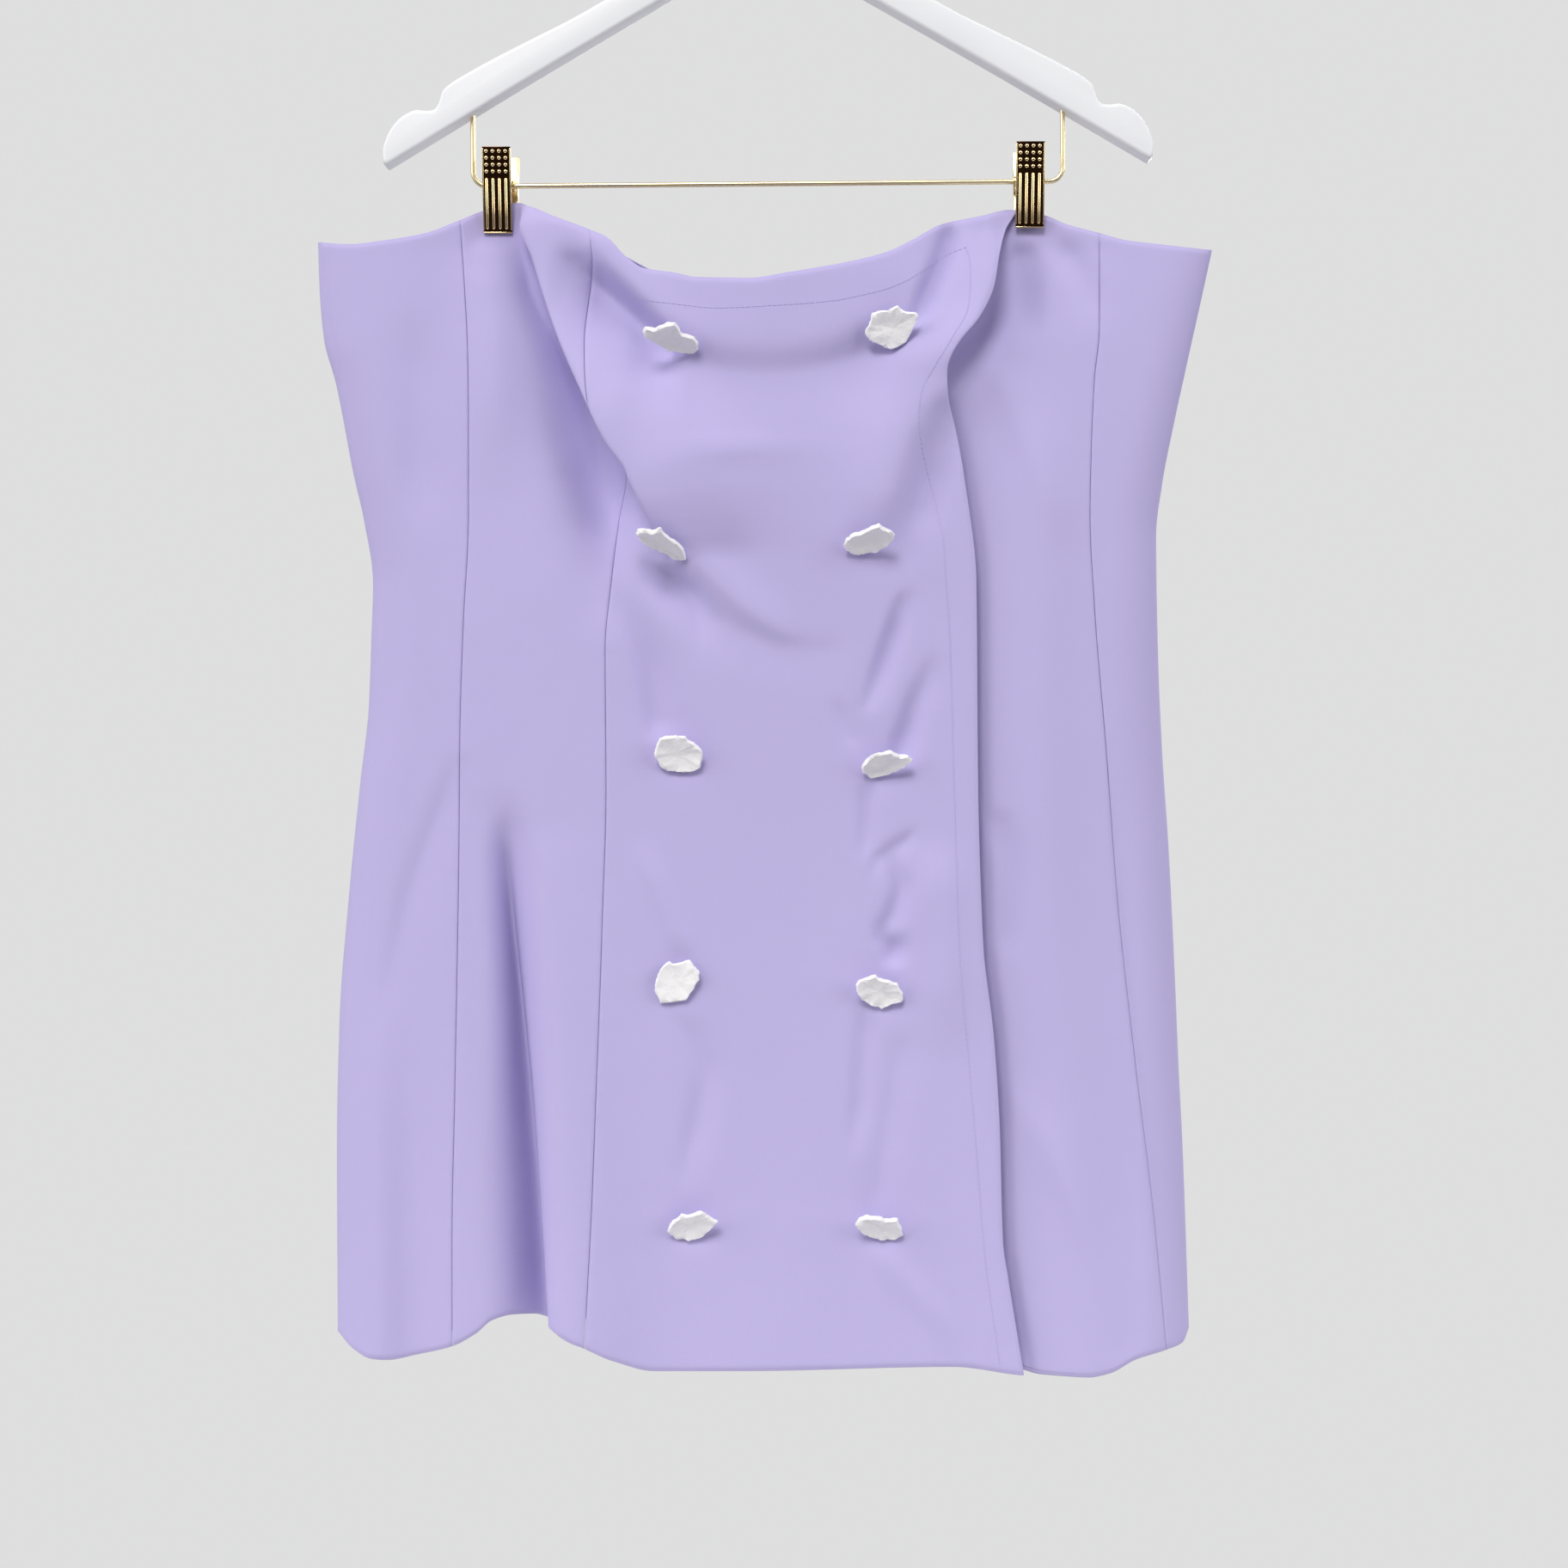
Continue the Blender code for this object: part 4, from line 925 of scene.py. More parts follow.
# %% Outlines of the buttons
Button = namedtuple("Button", "name x drop droop outline")
BUTTONS = [
    Button("button_1_left", *BUTTON_PLACES["button_1_left"], 52, [
        (15, -1.3), (13.1, 0.6), (6.3, 2.2), (4.4, 5), (2.3, 7.2), (-1.9, 7.1), (-6.3, 5.6), (-10, 4.4),
        (-14.4, 5.3), (-16, 3.5), (-15, 1.3), (-10.6, -1), (-6.3, -2.8), (-1.3, -5), (3.8, -5.4),
        (7.8, -6), (12.5, -6.3), (14.8, -4.4)]),
    Button("button_2_left", *BUTTON_PLACES["button_2_left"], 54, [
        (13.1, -3.8), (11.3, 0), (8.1, 2.2), (4.4, 4.2), (1.5, 6.3), (-0.3, 8.8), (-5, 7.3), (-8.8, 8.1),
        (-12.8, 7.9), (-14.1, 6.3), (-11.3, 3.1), (-6.9, 0.3), (-2.5, -1.6), (2.5, -3.5), (6.9, -5.9),
        (10.6, -6.5), (13.3, -6)]),
    Button("button_3_left", *BUTTON_PLACES["button_3_left"], 26, [
        (13.1, -1.9), (12.9, 2.5), (8.1, 6.5), (4.6, 8.1), (4, 10.3), (-1.9, 10.3), (-7.5, 10), (-11, 8.5),
        (-13.1, 3.8), (-14, -0.6), (-10.6, -6.9), (-6.3, -9.4), (0, -9.8), (7.5, -9.5), (11.5, -7.8)]),
    Button("button_4_left", *BUTTON_PLACES["button_4_left"], 8, [
        (12.5, 1.3), (12.1, 6.3), (9.4, 9.4), (6.9, 12.5), (1.3, 10.9), (-2.8, 10.3), (-4.4, 11.6),
        (-7.5, 10), (-10.3, 6.3), (-11.9, 1.3), (-12.9, -4.4), (-11, -8.8), (-9.4, -12.5), (-3.1, -11.5),
        (5, -10.6), (8.1, -5.6), (10.6, -1.3)]),
    Button("button_5_left", *BUTTON_PLACES["button_5_left"], 36, [
        (14, 2.3), (10.6, 5), (7.5, 7.5), (5.6, 9.4), (1.3, 7.5), (-3.1, 6), (-6.5, 7.1), (-8.1, 5),
        (-12.5, 1.3), (-14.4, -3.1), (-12.5, -6.3), (-8.8, -8.5), (-2.5, -8.8), (3.8, -7.8), (7.5, -5),
        (11.3, -0.6)]),
    Button("button_1_right", *BUTTON_PLACES["button_1_right"], 24, [
        (14.8, 6.9), (13.8, 8.8), (8.8, 8.8), (5, 10.6), (3.1, 12.3), (-1.9, 10), (-6.9, 9.8), (-11.3, 8.1),
        (-12.5, 3.8), (-15.3, -1.5), (-12.5, -5.6), (-7.5, -7.8), (-1.3, -10.3), (3.8, -9.4), (8.8, -6.3),
        (11.3, -1.3), (13.8, 3.8)]),
    Button("button_2_right", *BUTTON_PLACES["button_2_right"], 48, [
        (14, 2.8), (11.3, 5), (6.9, 6.5), (5, 8.1), (0, 6.3), (-5, 3.8), (-10, 2.8), (-13.1, 0.6),
        (-15, -2.3), (-13.1, -5), (-8.8, -6.9), (-2.5, -6.5), (3.8, -5.6), (8.8, -3.5), (12.5, 0)]),
    Button("button_3_right", *BUTTON_PLACES["button_3_right"], 46, [
        (14.4, 2.8), (11.9, 4.8), (8.1, 4.4), (5, 6), (1.9, 7.8), (-2.5, 6.6), (-7.5, 5.6), (-11.3, 2.5),
        (-14, -0.6), (-13.1, -4.4), (-8.8, -7.1), (0, -5.6), (6.3, -3.1), (11.9, 0.3)]),
    Button("button_4_right", *BUTTON_PLACES["button_4_right"], 30, [
        (13.1, -1.3), (11.3, 1.3), (10, 4.4), (5, 6.3), (-0.6, 7.5), (-3.1, 10), (-6.9, 8.1), (-11.3, 6.9),
        (-13.4, 4.4), (-12.8, 0), (-10, -5), (-3.8, -8.1), (1.9, -9.8), (8.8, -6.3), (13.4, -5.3)]),
    Button("button_5_right", *BUTTON_PLACES["button_5_right"], 42, [
        (12.9, -4.4), (11.9, 0), (10.6, 2.5), (9.4, 6.3), (6.3, 5), (2.5, 5.3), (-1.3, 7.5), (-8.1, 7.8),
        (-11.9, 6.3), (-14.1, 2.8), (-12.5, 0), (-10, -3.1), (-3.8, -6.3), (2.5, -7.5), (8.8, -7.1)]),
]
RINGS = [
    (0.0, 2.6), (0.16, 2.6), (0.32, 2.6), (0.48, 2.55), (0.66, 2.3), (0.82, 1.9), (0.93, 1.2), (0.99, 0.4),
    (1.0, -0.6), (0.93, -1.7), (0.78, -1.5), (0.5, -1.1), (0.22, -0.9)]
OUTLINE_POINTS = 84
NUGGET_MIDDLE = -0.8
LUMPS = 0.5
LUMP_SIZE = 2.3
CRUMBS = 0.38
CRUMB_SIZE = 0.95
DENTS = 0.9
DENT_SIZE = 5.5
NOISE_SEED = 7
noise.seed_set(NOISE_SEED)

# %% Where the wrapped panel's face is
WRAPPED = CLOTHS["front_overlap"].data
CLOTH_TREE = BVHTree.FromPolygons(
    [vertex.co for vertex in WRAPPED.vertices], [face.vertices for face in WRAPPED.polygons])


def cloth_forward(x, z):
    """How far the wrapped panel's face stands forward at one place of the front view."""
    found = CLOTH_TREE.ray_cast(Vector((x, -VIEW_DISTANCE, z)) * MM, Vector((0, 1, 0)))
    if found[0] is None:
        print("no cloth at", round(x, 1), round(z, 1))
        return 0.0
    return -found[0].y / MM


# %% Nuggets
def spaced(outline, count):
    """Points at even distances round a closed outline."""
    points = np.array(outline + outline[:1], float)
    lengths = np.concatenate([[0], np.cumsum(np.linalg.norm(np.diff(points, axis=0), axis=1))])
    at = np.linspace(0, lengths[-1], count, endpoint=False)
    return np.stack([np.interp(at, lengths, points[:, k]) for k in range(2)], axis=1)


def nugget(button):
    """A rough slab with the button's outline, turned by its lean, about its own centre."""
    lean = math.radians(button.droop)
    turned = Matrix.Rotation(lean, 3, "X")
    outline = spaced(button.outline, OUTLINE_POINTS)
    seed = Vector((len(button.name) * 7.3, button.drop, button.x))
    shape = bmesh.new()
    rings = []
    for share, depth in RINGS:
        if share == 0.0:
            ring = [shape.verts.new(turned @ Vector((0, depth, 0)))]
        else:
            ring = []
            for x, z in outline:
                z = z / math.cos(lean)
                point = Vector((x * share, depth, z * share))
                rough = noise.noise_vector((point + seed) / LUMP_SIZE) * LUMPS * share
                rough = rough + noise.noise_vector((point + seed) / CRUMB_SIZE) * CRUMBS * share ** 4
                dents = noise.noise((point + seed) / DENT_SIZE) * DENTS
                ring.append(shape.verts.new(turned @ (point + rough + Vector((0, dents, 0)))))
        rings.append(ring)
    for one, other in zip(rings, rings[1:]):
        for k in range(len(other)):
            following = (k + 1) % len(other)
            if len(one) == 1:
                shape.faces.new([one[0], other[k], other[following]])
            else:
                shape.faces.new([one[k], one[following], other[following], other[k]][::-1])
    middle = shape.verts.new(turned @ Vector((0, NUGGET_MIDDLE, 0)))
    last = rings[-1]
    for k in range(len(last)):
        shape.faces.new([last[(k + 1) % len(last)], last[k], middle])
    bmesh.ops.recalc_face_normals(shape, faces=shape.faces)
    return shape


# %% Buttons on their shanks
BUTTON_CLEARANCE = 0.6
SHANK_RADIUS = 1.5
SHANK_BEHIND = 2.2
SHANK_ABOVE = 3.0


def shank(shape, start, end):
    """Adds a wound thread shank between two points."""
    along = end - start
    turns = Matrix.Translation((start + end) / 2) @ along.to_track_quat("Z", "Y").to_matrix().to_4x4()
    bmesh.ops.create_cone(
        shape, cap_ends=True, segments=12, radius1=SHANK_RADIUS, radius2=SHANK_RADIUS * 0.85,
        depth=along.length, matrix=turns)


def add_button(button):
    shape = nugget(button)
    forward = 0.0
    for _ in range(2):
        centre = Vector(place(float(button.x), float(button.drop), forward))
        stand = max(cloth_forward(centre.x + v.co.x, centre.z + v.co.z) + v.co.y for v in shape.verts)
        forward = stand + BUTTON_CLEARANCE
    centre = Vector(place(float(button.x), float(button.drop), forward))
    bmesh.ops.translate(shape, verts=shape.verts, vec=centre)
    behind = Matrix.Rotation(math.radians(button.droop), 3, "X") @ Vector((0, SHANK_BEHIND, 0))
    end = centre + behind
    start = Vector((centre.x, 0, centre.z + SHANK_ABOVE))
    start.y = -cloth_forward(start.x, start.z)
    shank(shape, start, end)
    bmesh.ops.scale(shape, verts=shape.verts, vec=(MM, MM, MM))
    mesh = bpy.data.meshes.new(f"{button.name}_nugget")
    shape.to_mesh(mesh)
    shape.free()
    mesh.shade_smooth()
    mesh.set_sharp_from_angle(angle=math.radians(48))
    made = link(mesh.name, mesh, CHALK)
    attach(made, "root")
    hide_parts(button.name)
    return made


for button in BUTTONS:
    add_button(button)
print("buttons:", len(BUTTONS))

# %% [markdown]
# Topstitching holds the facing 16 mm inside the top edge and the wrapped edge. Stitches repeat along
# a path, so Geometry Nodes make them: the path is cut at an even pitch, a short round stitch is set
# on each point along the path, and the result is realized as one mesh.

# %% Stitches along a path
def socket_id(tree, name):
    """Identifier of a group's named input."""
    items = tree.interface.items_tree
    return next(item.identifier for item in items if item.name == name and item.in_out == "INPUT")


def new_tree(name, inputs):
    """A Geometry Nodes tree with named inputs, given as (name, socket type)."""
    tree = bpy.data.node_groups.new(name, "GeometryNodeTree")
    tree.interface.new_socket("Geometry", in_out="INPUT", socket_type="NodeSocketGeometry")
    for label, kind in inputs:
        tree.interface.new_socket(label, in_out="INPUT", socket_type=kind)
    tree.interface.new_socket("Geometry", in_out="OUTPUT", socket_type="NodeSocketGeometry")
    return tree, tree.nodes.new("NodeGroupInput"), tree.nodes.new("NodeGroupOutput")


def node_in(tree, kind, settings=None, values=None):
    """Adds a node to a Geometry Nodes tree. A value that is a socket is linked."""
    node = tree.nodes.new(kind)
    for name, value in (settings or {}).items():
        setattr(node, name, value)
    for name, value in (values or {}).items():
        if isinstance(value, bpy.types.NodeSocket):
            tree.links.new(value, node.inputs[name])
        else:
            node.inputs[name].default_value = value
    return node


# %% Tree of the stitches
def stitch_tree():
    tree, given, result = new_tree("stitches along a path", [
        ("Pitch", "NodeSocketFloat"), ("Stitch length", "NodeSocketFloat"),
        ("Thread radius", "NodeSocketFloat"), ("Finish", "NodeSocketMaterial")])
    cut = node_in(tree, "GeometryNodeCurveToPoints", {"mode": "LENGTH"}, {
        "Curve": given.outputs["Geometry"], "Length": given.outputs["Pitch"]})
    bead = node_in(tree, "GeometryNodeMeshUVSphere", None, {"Segments": 6, "Rings": 5, "Radius": 1.0})
    half = node_in(tree, "ShaderNodeMath", {"operation": "MULTIPLY"}, {
        0: given.outputs["Stitch length"], 1: 0.5})
    size = node_in(tree, "ShaderNodeCombineXYZ", None, {
        0: given.outputs["Thread radius"], 1: given.outputs["Thread radius"], 2: half.outputs[0]})
    placed = node_in(tree, "GeometryNodeInstanceOnPoints", None, {
        "Points": cut.outputs["Points"], "Instance": bead.outputs["Mesh"],
        "Rotation": cut.outputs["Rotation"], "Scale": size.outputs[0]})
    real = node_in(tree, "GeometryNodeRealizeInstances", None, {0: placed.outputs[0]})
    finished = node_in(tree, "GeometryNodeSetMaterial", None, {
        "Geometry": real.outputs[0], "Material": given.outputs["Finish"]})
    tree.links.new(finished.outputs[0], result.inputs[0])
    return tree


def made_real(source, name):
    """A plain mesh object of what a modifier made, and the source is removed."""
    graph = bpy.context.evaluated_depsgraph_get()
    mesh = bpy.data.meshes.new_from_object(source.evaluated_get(graph))
    mesh.name = name
    made = bpy.data.objects.new(name, mesh)
    bpy.context.scene.collection.objects.link(made)
    bpy.data.objects.remove(source, do_unlink=True)
    return made


def run_tree(tree, source, values):
    """Gives an object the tree with its inputs set, before anything is evaluated."""
    modifier = source.modifiers.new(tree.name, "NODES")
    modifier.node_group = tree
    for name, value in values.items():
        modifier[socket_id(tree, name)] = value


def path_object(name, points):
    """A poly curve through points in millimetres."""
    curve = bpy.data.curves.new(name, "CURVE")
    curve.dimensions = "3D"
    spline = curve.splines.new("POLY")
    spline.points.add(len(points) - 1)
    for point, co in zip(spline.points, points):
        point.co = (*(Vector(co) * MM), 1)
    made = bpy.data.objects.new(name, curve)
    bpy.context.scene.collection.objects.link(made)
    return made


# %% Topstitches
def thread():
    made = Finish("lilac sewing thread", {"Roughness": 0.6, "Sheen Weight": 0.2})
    fuzz = made.noise(made.place(), 2400.0, 2.0)
    made.colour(made.between(fuzz, (0.42, 0.365, 0.67, 1), (0.49, 0.43, 0.73, 1)))
    return made.material


THREAD_FINISH = thread()
STITCH_TREE = stitch_tree()
STITCH_LINES = {
    "topstitch_top": [
        (-72, 297), (-52, 299.5), (-30, 301.5), (5, 300), (37, 297.5), (53, 294.5), (69, 290.5), (80, 286),
        (93, 278), (104, 271), (115, 266.5)],
    "topstitch_edge": [
        (115, 266.5), (117.5, 274), (118, 282), (117, 300), (109, 318), (98, 338), (91.5, 352), (90.5, 366),
        (92, 383.5), (95.5, 404), (99, 419.5), (102.5, 440), (104.5, 470.5), (105.5, 482.5), (108, 560),
        (111.5, 672.5), (117, 740), (122, 800), (126, 850), (135, 916)],
}


STITCH_PITCH = 0.0030
STITCH_LENGTH = 0.0022
THREAD_RADIUS = 0.00022
PATH_PITCH = 2.0
PROUD = 0.12


def stitch_points(line):
    """The line on the wrapped panel's face, a hair proud of it."""
    table = np.array(line, float)
    lengths = np.concatenate([[0], np.cumsum(np.linalg.norm(np.diff(table, axis=0), axis=1))])
    at = np.arange(0, lengths[-1], PATH_PITCH)
    x = smooth(lengths, table[:, 0], at)
    drop = smooth(lengths, table[:, 1], at)
    points = overlap(x, drop)
    points[:, 1] -= PROUD
    return points


for name, line in STITCH_LINES.items():
    source = path_object(name + "_path", stitch_points(line))
    run_tree(STITCH_TREE, source, {
        "Pitch": STITCH_PITCH, "Stitch length": STITCH_LENGTH, "Thread radius": THREAD_RADIUS,
        "Finish": THREAD_FINISH})
    made = made_real(source, name)
    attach(made, "root")
    print(name, "faces", len(made.data.polygons))

# %% [markdown]
# The clips are pressed from polished brass-coloured sheet. Each jaw has a field of small dots at its
# thumb end, four rounded ribs, a plain foot that bites the cloth and two flanges that reach back to
# the barrel on the bar. Dots and ribs repeat on a grid, so one tree of Geometry Nodes makes both. On
# the front plates the flat face between dots and ribs is dark brown, a painted dark reflection of the
# room; rear jaws, barrels and springs are plain gold.

# %% Polished gold
# Dark brown for the flat face of the front plates: a painted dark reflection of the room, which polished
# sheet would mirror.
PAINTED_REFLECTION_BROWN = (0.10, 0.045, 0.018, 1)


def gold(name, base, worn, roughness, relief=None):
    """Plating; relief names a mesh attribute, 1 on raised metal and 0 where a dark reflection is painted.
    """
    made = Finish(name, {"Metallic": 1.0})
    haze = made.noise(made.place(), 140.0, 3.0, 0.6)
    tone = made.between(haze, base, worn)
    if relief:
        raised = made.attribute(relief)
        # Where the attribute is 0, on the flat plate face, the painted dark reflection takes the place of
        # the gold.
        tone = made.between(raised, PAINTED_REFLECTION_BROWN, tone)
    made.colour(tone)
    made.roughness(haze * 0.06 + roughness)
    return made.material


CLIP_GOLD = gold("polished clip gold", (0.94, 0.79, 0.49, 1), (0.80, 0.60, 0.30, 1), 0.12, "raised")
PLAIN_GOLD = gold("plain clip gold", (0.92, 0.76, 0.44, 1), (0.80, 0.62, 0.32, 1), 0.30)
WIRE_GOLD = gold("gold wire", (0.94, 0.81, 0.52, 1), (0.92, 0.78, 0.48, 1), 0.32)


# %% Dots and ribs on a plate
def bump_tree():
    tree, given, result = new_tree("rounded bumps on a grid", [
        ("Across", "NodeSocketInt"), ("Down", "NodeSocketInt"), ("Pitch", "NodeSocketVector"),
        ("Half size", "NodeSocketVector"), ("Straight", "NodeSocketFloat"),
        ("Finish", "NodeSocketMaterial")])
    pitch = node_in(tree, "ShaderNodeSeparateXYZ", None, {0: given.outputs["Pitch"]})
    spans = []
    for count, step in (("Across", "X"), ("Down", "Z")):
        less = node_in(tree, "ShaderNodeMath", {"operation": "SUBTRACT"}, {0: given.outputs[count], 1: 1.0})
        spans.append(node_in(tree, "ShaderNodeMath", {"operation": "MULTIPLY"}, {
            0: less.outputs[0], 1: pitch.outputs[step]}))
    grid = node_in(tree, "GeometryNodeMeshGrid", None, {
        "Vertices X": given.outputs["Across"], "Vertices Y": given.outputs["Down"],
        "Size X": spans[0].outputs[0], "Size Y": spans[1].outputs[0]})
    upright = node_in(tree, "GeometryNodeTransform", None, {
        "Geometry": grid.outputs["Mesh"], "Rotation": (math.pi / 2, 0, 0)})
    ball = node_in(tree, "GeometryNodeMeshUVSphere", None, {"Segments": 16, "Rings": 10, "Radius": 1.0})
    sized = node_in(tree, "GeometryNodeTransform", None, {
        "Geometry": ball.outputs["Mesh"], "Scale": given.outputs["Half size"]})
    where = node_in(tree, "GeometryNodeInputPosition")
    height = node_in(tree, "ShaderNodeSeparateXYZ", None, {0: where.outputs[0]})
    side = node_in(tree, "ShaderNodeMath", {"operation": "SIGN"}, {0: height.outputs["Z"]})
    shift = node_in(tree, "ShaderNodeMath", {"operation": "MULTIPLY"}, {
        0: side.outputs[0], 1: given.outputs["Straight"]})
    offset = node_in(tree, "ShaderNodeCombineXYZ", None, {2: shift.outputs[0]})
    drawn = node_in(tree, "GeometryNodeSetPosition", None, {
        "Geometry": sized.outputs[0], "Offset": offset.outputs[0]})
    placed = node_in(tree, "GeometryNodeInstanceOnPoints", None, {
        "Points": upright.outputs[0], "Instance": drawn.outputs[0]})
    real = node_in(tree, "GeometryNodeRealizeInstances", None, {0: placed.outputs[0]})
    finished = node_in(tree, "GeometryNodeSetMaterial", None, {
        "Geometry": real.outputs[0], "Material": given.outputs["Finish"]})
    tree.links.new(finished.outputs[0], result.inputs[0])
    return tree


BUMP_TREE = bump_tree()


def bumps(across, down, pitch, half_size, straight, shift):
    """Mesh of a grid of rounded bumps, in metres, about a point of the plate's face."""
    seed_mesh = bpy.data.meshes.new("bump seed")
    source = bpy.data.objects.new("bump seed", seed_mesh)
    bpy.context.scene.collection.objects.link(source)
    run_tree(BUMP_TREE, source, {
        "Across": across, "Down": down, "Pitch": [value * MM for value in pitch],
        "Half size": [value * MM for value in half_size], "Straight": straight * MM, "Finish": CLIP_GOLD})
    made = made_real(source, "bumps")
    made.data.transform(Matrix.Translation(Vector(shift) * MM))
    mesh = made.data
    bpy.data.objects.remove(made, do_unlink=True)
    return mesh


# %% Sizes of the clips
JAW_THICKNESS = 1.2
JAW_SPREAD = 10.6
JAW_CLEARANCE = 0.3
FLANGE_ABOVE = 9.0
FLANGE_BELOW = 5.0
RIM_HEIGHT = 0.35
FOOT_HEIGHT = 0.45
BUMP_PITCH = 3.7
BUMP_SHIFT = -0.3
BARREL_RADIUS = 3.0
BAR_RADIUS = 1.5
ROLL = math.radians(0.5)
ROLL_DROP = 190.0


def rounded_box(shape, low, high, edge):
    """Adds a box with softened edges, in millimetres."""
    size = [high[k] - low[k] for k in range(3)]
    middle = [(high[k] + low[k]) / 2 for k in range(3)]
    matrix = Matrix.Translation(middle) @ Matrix.Diagonal((*size, 1))
    made = bmesh.ops.create_cube(shape, size=1, matrix=matrix)
    edges = list(dict.fromkeys(e for v in made["verts"] for e in v.link_edges))
    bmesh.ops.bevel(shape, geom=edges, offset=edge, segments=3, affect="EDGES", profile=0.5)


def bar_drop_at(x):
    """Drop of the bar, which is rolled with the hanger."""
    return BAR_DROP - x * math.sin(ROLL)


# %% One jaw of a clip
def jaw(clip, end, grip, shift):
    """A pressed plate with its dots, ribs, foot and flanges, leaning as the gripped cloth makes it."""
    height = JAW_ABOVE + JAW_BELOW
    tilt = math.atan2(JAW_SPREAD - grip, height)
    inner = grip + JAW_CLEARANCE
    to_axis = (inner + JAW_BELOW * math.tan(tilt)) * math.cos(tilt)
    flange = to_axis - BARREL_RADIUS - 0.2
    half = JAW_WIDTH / 2
    shape = bmesh.new()
    raised = shape.verts.layers.float.new("raised")
    rounded_box(shape, (-half, -JAW_THICKNESS, -JAW_BELOW), (half, 0, JAW_ABOVE), 0.35)
    after_plate = len(shape.verts)
    foot = -JAW_THICKNESS - FOOT_HEIGHT
    rounded_box(shape, (-half, foot, -JAW_BELOW), (half, -0.2, -JAW_BELOW + 0.8), 0.25)
    for side in (-1, 1):
        edges = sorted((side * (half - 0.05), side * (half - 0.85)))
        rounded_box(shape, (edges[0], -0.6, -FLANGE_BELOW), (edges[1], flange, FLANGE_ABOVE), 0.25)
        rim = sorted((side * (half + 0.05), side * (half - 0.75)))
        low = (rim[0], -JAW_THICKNESS - RIM_HEIGHT, -JAW_BELOW + 2)
        rounded_box(shape, low, (rim[1], -0.3, JAW_ABOVE - 1), 0.25)
    bmesh.ops.scale(shape, verts=shape.verts, vec=(MM, MM, MM))
    at_dots = (BUMP_SHIFT, -JAW_THICKNESS, JAW_ABOVE - 8.3)
    at_ribs = (BUMP_SHIFT, -JAW_THICKNESS + 0.1, JAW_ABOVE - 32.1)
    dots = bumps(4, 4, (BUMP_PITCH, 0, 3.8), (1.15, 0.8, 1.15), 0.0, at_dots)
    ribs = bumps(4, 1, (BUMP_PITCH, 0, 1), (1.0, 1.1, 1.2), 13.4, at_ribs)
    shape.from_mesh(dots)
    shape.from_mesh(ribs)
    shape.verts.ensure_lookup_table()
    # Every piece after the flat plate is marked 1, so the painted dark reflection stays on the flat plate
    # face.
    for corner in shape.verts[after_plate:]:
        corner[raised] = 1.0
    name = f"clip_{clip.name}_{end}_plate"
    mesh = bpy.data.meshes.new(name)
    shape.to_mesh(mesh)
    shape.free()
    mesh.shade_smooth()
    mesh.set_sharp_from_angle(angle=math.radians(60))
    facing = 0 if end == "front" else math.pi
    low_edge = Matrix.Translation(Vector((0, 0, JAW_BELOW * MM)))
    turned = Matrix.Rotation(facing, 4, "Z") @ Matrix.Translation(Vector((0, -inner, -JAW_BELOW)) * MM)
    matrix = turned @ Matrix.Rotation(tilt, 4, "X") @ low_edge
    at_clip = Vector((clip.x + shift, 0, -bar_drop_at(clip.x))) * MM
    mesh.transform(Matrix.Translation(at_clip) @ matrix)
    made = link(name, mesh, CLIP_GOLD if end == "front" else PLAIN_GOLD)
    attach(made, "root")
    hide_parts(f"clip_{clip.name}_{end}_jaw")
    return made


for clip in CLIPS:
    jaw(clip, "front", clip.front_grip, 0.0)
    jaw(clip, "rear", clip.back_grip, clip.rear_shift)

# %% [markdown]
# A coil spring on the barrel presses the jaws together. Its wire follows a helix, and Geometry Nodes
# sweep a round section along it. The barrel itself is a plain sleeve with collars at its ends.

# %% Tree of a round wire
def wire_tree():
    tree, given, result = new_tree("round wire along a path", [
        ("Radius", "NodeSocketFloat"), ("Finish", "NodeSocketMaterial")])
    section = node_in(tree, "GeometryNodeCurvePrimitiveCircle", {"mode": "RADIUS"}, {
        "Resolution": 14, "Radius": given.outputs["Radius"]})
    swept = node_in(tree, "GeometryNodeCurveToMesh", None, {
        "Curve": given.outputs["Geometry"], "Profile Curve": section.outputs["Curve"], "Fill Caps": True})
    soft = node_in(tree, "GeometryNodeSetShadeSmooth", None, {"Geometry": swept.outputs[0]})
    real = node_in(tree, "GeometryNodeRealizeInstances", None, {0: soft.outputs[0]})
    finished = node_in(tree, "GeometryNodeSetMaterial", None, {
        "Geometry": real.outputs[0], "Material": given.outputs["Finish"]})
    tree.links.new(finished.outputs[0], result.inputs[0])
    return tree


WIRE_TREE = wire_tree()


def wire(name, points, radius, finish):
    """A round wire through points in millimetres."""
    source = path_object(name + " path", points)
    run_tree(WIRE_TREE, source, {"Radius": radius * MM, "Finish": finish})
    made = made_real(source, name)
    made.data.set_sharp_from_angle(angle=math.radians(50))
    return made


# %% Barrels and springs
BARREL_LENGTH = 18.0
BORE_RADIUS = 1.75
SLEEVE_RADIUS = 2.5
COLLAR_WIDTH = 1.2
COLLAR_SLOPE = 0.3
BARREL_SIDES = 28
SPRING_TURNS = 8
SPRING_RADIUS = 2.9
SPRING_HALF = 6.0
SPRING_WIRE = 0.35


def clip_axis(clip):
    """Matrix that sets a shape on X at the clip's place on the bar, in metres."""
    at_clip = Vector((clip.x, 0, -bar_drop_at(clip.x))) * MM
    return Matrix.Translation(at_clip) @ Matrix.Rotation(-ROLL, 4, "Y")


